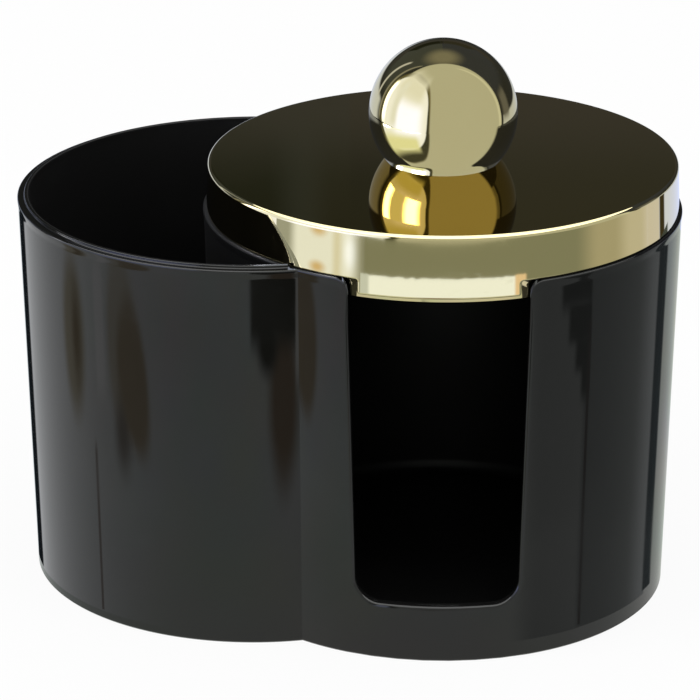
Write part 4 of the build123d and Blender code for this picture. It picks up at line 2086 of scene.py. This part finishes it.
def floor_cards(open_wall: Wall, lidded_wall: Wall, lid_wall: Wall) -> tuple[FloorCard, ...]:
    """Glowing soft cards on the floor, painted reflections in the walls and the lid's side.

    Args:
        open_wall: Outside of the open cup.
        lidded_wall: Outside of the lidded cup.
        lid_wall: The lid's side.

    Returns:
        The cards, from the lowest up.
    """
    white, black, olive = (0.9, 0.92, 0.94), (0.008, 0.012, 0.015), (0.04, 0.042, 0.02)
    peach, dusk, side, wall = (0.8, 0.62, 0.4), (0.1, 0.11, 0.1), (70, 85.5), (-1, 80)
    lid_cards = (  # left, right, low, high, colour, fades
        (54, 89, *side, (0.74, 0.83, 1.2), (0, 0)),
        (-43, -20, *side, (1.0, 1.1, 1.4), (0, 0)),
        (-44, -37, *side, (0.42, 0.46, 0.5), (0, 0.5)),
        (-28.5, -24.5, *side, (0.86, 0.88, 0.92), (0.5, 0.5)),
        (-25.5, -20.5, 74, 84, (1.28, 1.45, 2.2), (0.9,)),
        (-35, -28, 80.5, 84.5, peach, (0.9,)),
        (-35, -28.5, 73.5, 77, (0.78, 0.6, 0.38), (0.9,)),
        (-24, 56, *side, (0.26, 0.28, 0.235), (0.06, 0.1)),
        (31, 50, *side, (0.46, 0.45, 0.38), (0.4, 0.1)),
        (43, 56, *side, (0.62, 0.61, 0.58), (0.5, 0)),
        (53, 63, *side, (0.71, 0.7, 0.76), (0.4, 0.1)),
        (62.2, 66.2, *side, (0.05, 0.04, 0.02), (0.25, 0.25)),
        (-20.5, 16.5, 68, 74.9, (1.1, 1.23, 1.6), (0, 0)),
        (-20.5, -18, 68, 74.9, (0.7, 0.8, 1.0), (0, 0.4)),
        (15.4, 19, 68, 74.9, (0.95, 0.75, 0.6), (0.25, 0.25)),
    )
    open_cards = (
        (-90, -12, *wall, white, (0, 0.66)),
        (-90, -80, *wall, (0.55, 0.62, 0.66), (0, 0.15)),
        (-82, -72.5, *wall, black, (0.17, 0.17)),
        (-42.2, -41.1, -1, 36, (0.4, 0.36, 0.33), (0.3, 0.3, 0, 0.1)),
        (-53, -43, 34, 76, (0.55, 0.5, 0.38), (0.5,)),
        (-49.5, -44.5, 40, 70, (0.3, 0.24, 0.15), (0.9,)),
        (-37.5, -27.5, 33, 80, (0.62, 0.58, 0.48), (0.4,)),
        (-36.5, -29, 25, 50, (0.32, 0.29, 0.25), (0.9,)),
        (-35, -30, 38, 66, (0.44, 0.37, 0.25), (0.9,)),
        (-41, -37, 40, 76, (0.95, 0.95, 0.95), (0.3, 0.3, 0.25, 0.25)),
        (3, 12.5, 22, 72, (0.3, 0.22, 0.14), (0.6,)),
        (0.5, 7.5, 49, 66, olive, (0.7,)),
        (-0.5, 12.5, 54, 79, olive, (0.08, 0, 0.3, 0.1)),
        (10.4, 11.4, 46, 80, (0.9, 0.9, 0.85), (0.3, 0, 0.3, 0)),
    )
    lidded_cards = (
        (-38.5, -31, 40, 78, (0.44, 0.36, 0.24), (0.4,)),
        (15, 36, *wall, (0.41, 0.43, 0.41), (0.4, 0)),
        (34, 63, *wall, (0.29, 0.31, 0.3), (0.04, 0.04)),
        (52, 62.5, *wall, (0.4, 0.42, 0.42), (0.7, 0)),
        (27, 36.5, 63, 82, dusk, (0.14, 0.1, 0.25, 0)),
        (29, 36.5, 57, 66, dusk, (0.2, 0.1, 0.3, 0.1)),
        (31, 36.5, 51, 60, dusk, (0.3, 0.1, 0.3, 0.1)),
        (33, 36.5, 44, 54, dusk, (0.4, 0.1, 0.5, 0.1)),
        (35.2, 36.4, -1, 62, (0.14, 0.13, 0.12), (0.3, 0.3)),
        (61, 67.5, -1, 82, (0.06, 0.075, 0.08), (0.2, 0.2)),
    )
    tables = ((lid_wall, lid_cards), (open_wall, open_cards), (lidded_wall, lidded_cards))
    return tuple(FloorCard(shown, *row) for shown, rows in tables for row in rows)


def finishes(cups: TwinCupBody, lid: KeyedLid) -> tuple[Finish, ...]:
    """The container's finishes.

    Args:
        cups: The black moulding.
        lid: The gold lid.

    Returns:
        The black, the gold, the brass and the steel.
    """
    black = Finish(
        Slot.BLACK_GLOSS,
        colour=(0.0035, 0.0035, 0.0035),
        worn_colour=(0.006, 0.006, 0.006),
        roughness=0.04,
        marked_roughness=0.1,
        metallic=False,
        ripple_scale=22.0,
        ripple_depth=3e-6,
        cup_outside=cups.outside(cups.middle),
    )
    gold = Finish(
        Slot.GOLD_PLATE,
        colour=(0.78, 0.68, 0.38),
        worn_colour=(0.76, 0.66, 0.36),
        roughness=0.02,
        marked_roughness=0.06,
        metallic=True,
        ripple_scale=30.0,
        ripple_depth=1e-6,
        painted_reflection_colours=((1.0, 1.0, 1.0), (0.52, 0.364, 0.096)),
        painted_reflection_split=lid.top + 0.02,
    )
    turned = {"metallic": True, "ripple_scale": 60.0, "ripple_depth": 1e-6, "ring_axis": lid.axis_x}
    brass = Finish(
        Slot.INSERT_BRASS,
        colour=(0.72, 0.53, 0.24),
        worn_colour=(0.6, 0.42, 0.18),
        roughness=0.22,
        marked_roughness=0.4,
        ring_depth=4e-6,
        **turned,
    )
    steel = Finish(
        Slot.ZINC_STEEL,
        colour=(0.62, 0.62, 0.6),
        worn_colour=(0.5, 0.5, 0.49),
        roughness=0.25,
        marked_roughness=0.42,
        ring_depth=3e-6,
        **turned,
    )
    return black, gold, brass, steel


def main() -> None:
    """Builds the studio and the container and ties each piece to its body."""
    logging.basicConfig(level=logging.INFO, format="%(name)s: %(message)s")
    effects = SurfaceEffects()
    cups = TwinCupBody()
    lid = KeyedLid(cups.middle, cups.height, cups.facing)
    knob, fixing = BallKnob(cups.middle, lid.top), KnobFixing(cups.middle)
    walls = (cups.outside(-cups.middle), cups.outside(cups.middle), lid.side(lid.axis_x))
    eye = (knob.axis_x, 0.0, knob.seat + knob.centre_lift)
    studio = Studio(room_sky(), floor_cards(*walls), eye)
    studio.build()
    black, gold, brass, steel = (finish.material(effects) for finish in finishes(cups, lid))
    body_piece, lid_piece = cups.build(black), lid.build(gold)
    for piece in (body_piece, lid_piece):
        studio.edge_lit.objects.link(piece)
    attach(body_piece, Body.CONTAINER, Slot.BLACK_GLOSS, "container_body")
    attach(lid_piece, Body.LID, Slot.GOLD_PLATE, "lid_cap")
    attach(knob.build(gold), Body.LID, Slot.GOLD_PLATE, "knob_ball")
    attach(fixing.build_insert(brass), Body.LID, Slot.INSERT_BRASS, "knob_insert")
    attach(fixing.build_washer(steel), Body.LID, Slot.ZINC_STEEL, "screw_washer")
    attach(fixing.build_screw(steel), Body.LID, Slot.ZINC_STEEL, "knob_screw")


if __name__ == "__main__":
    main()
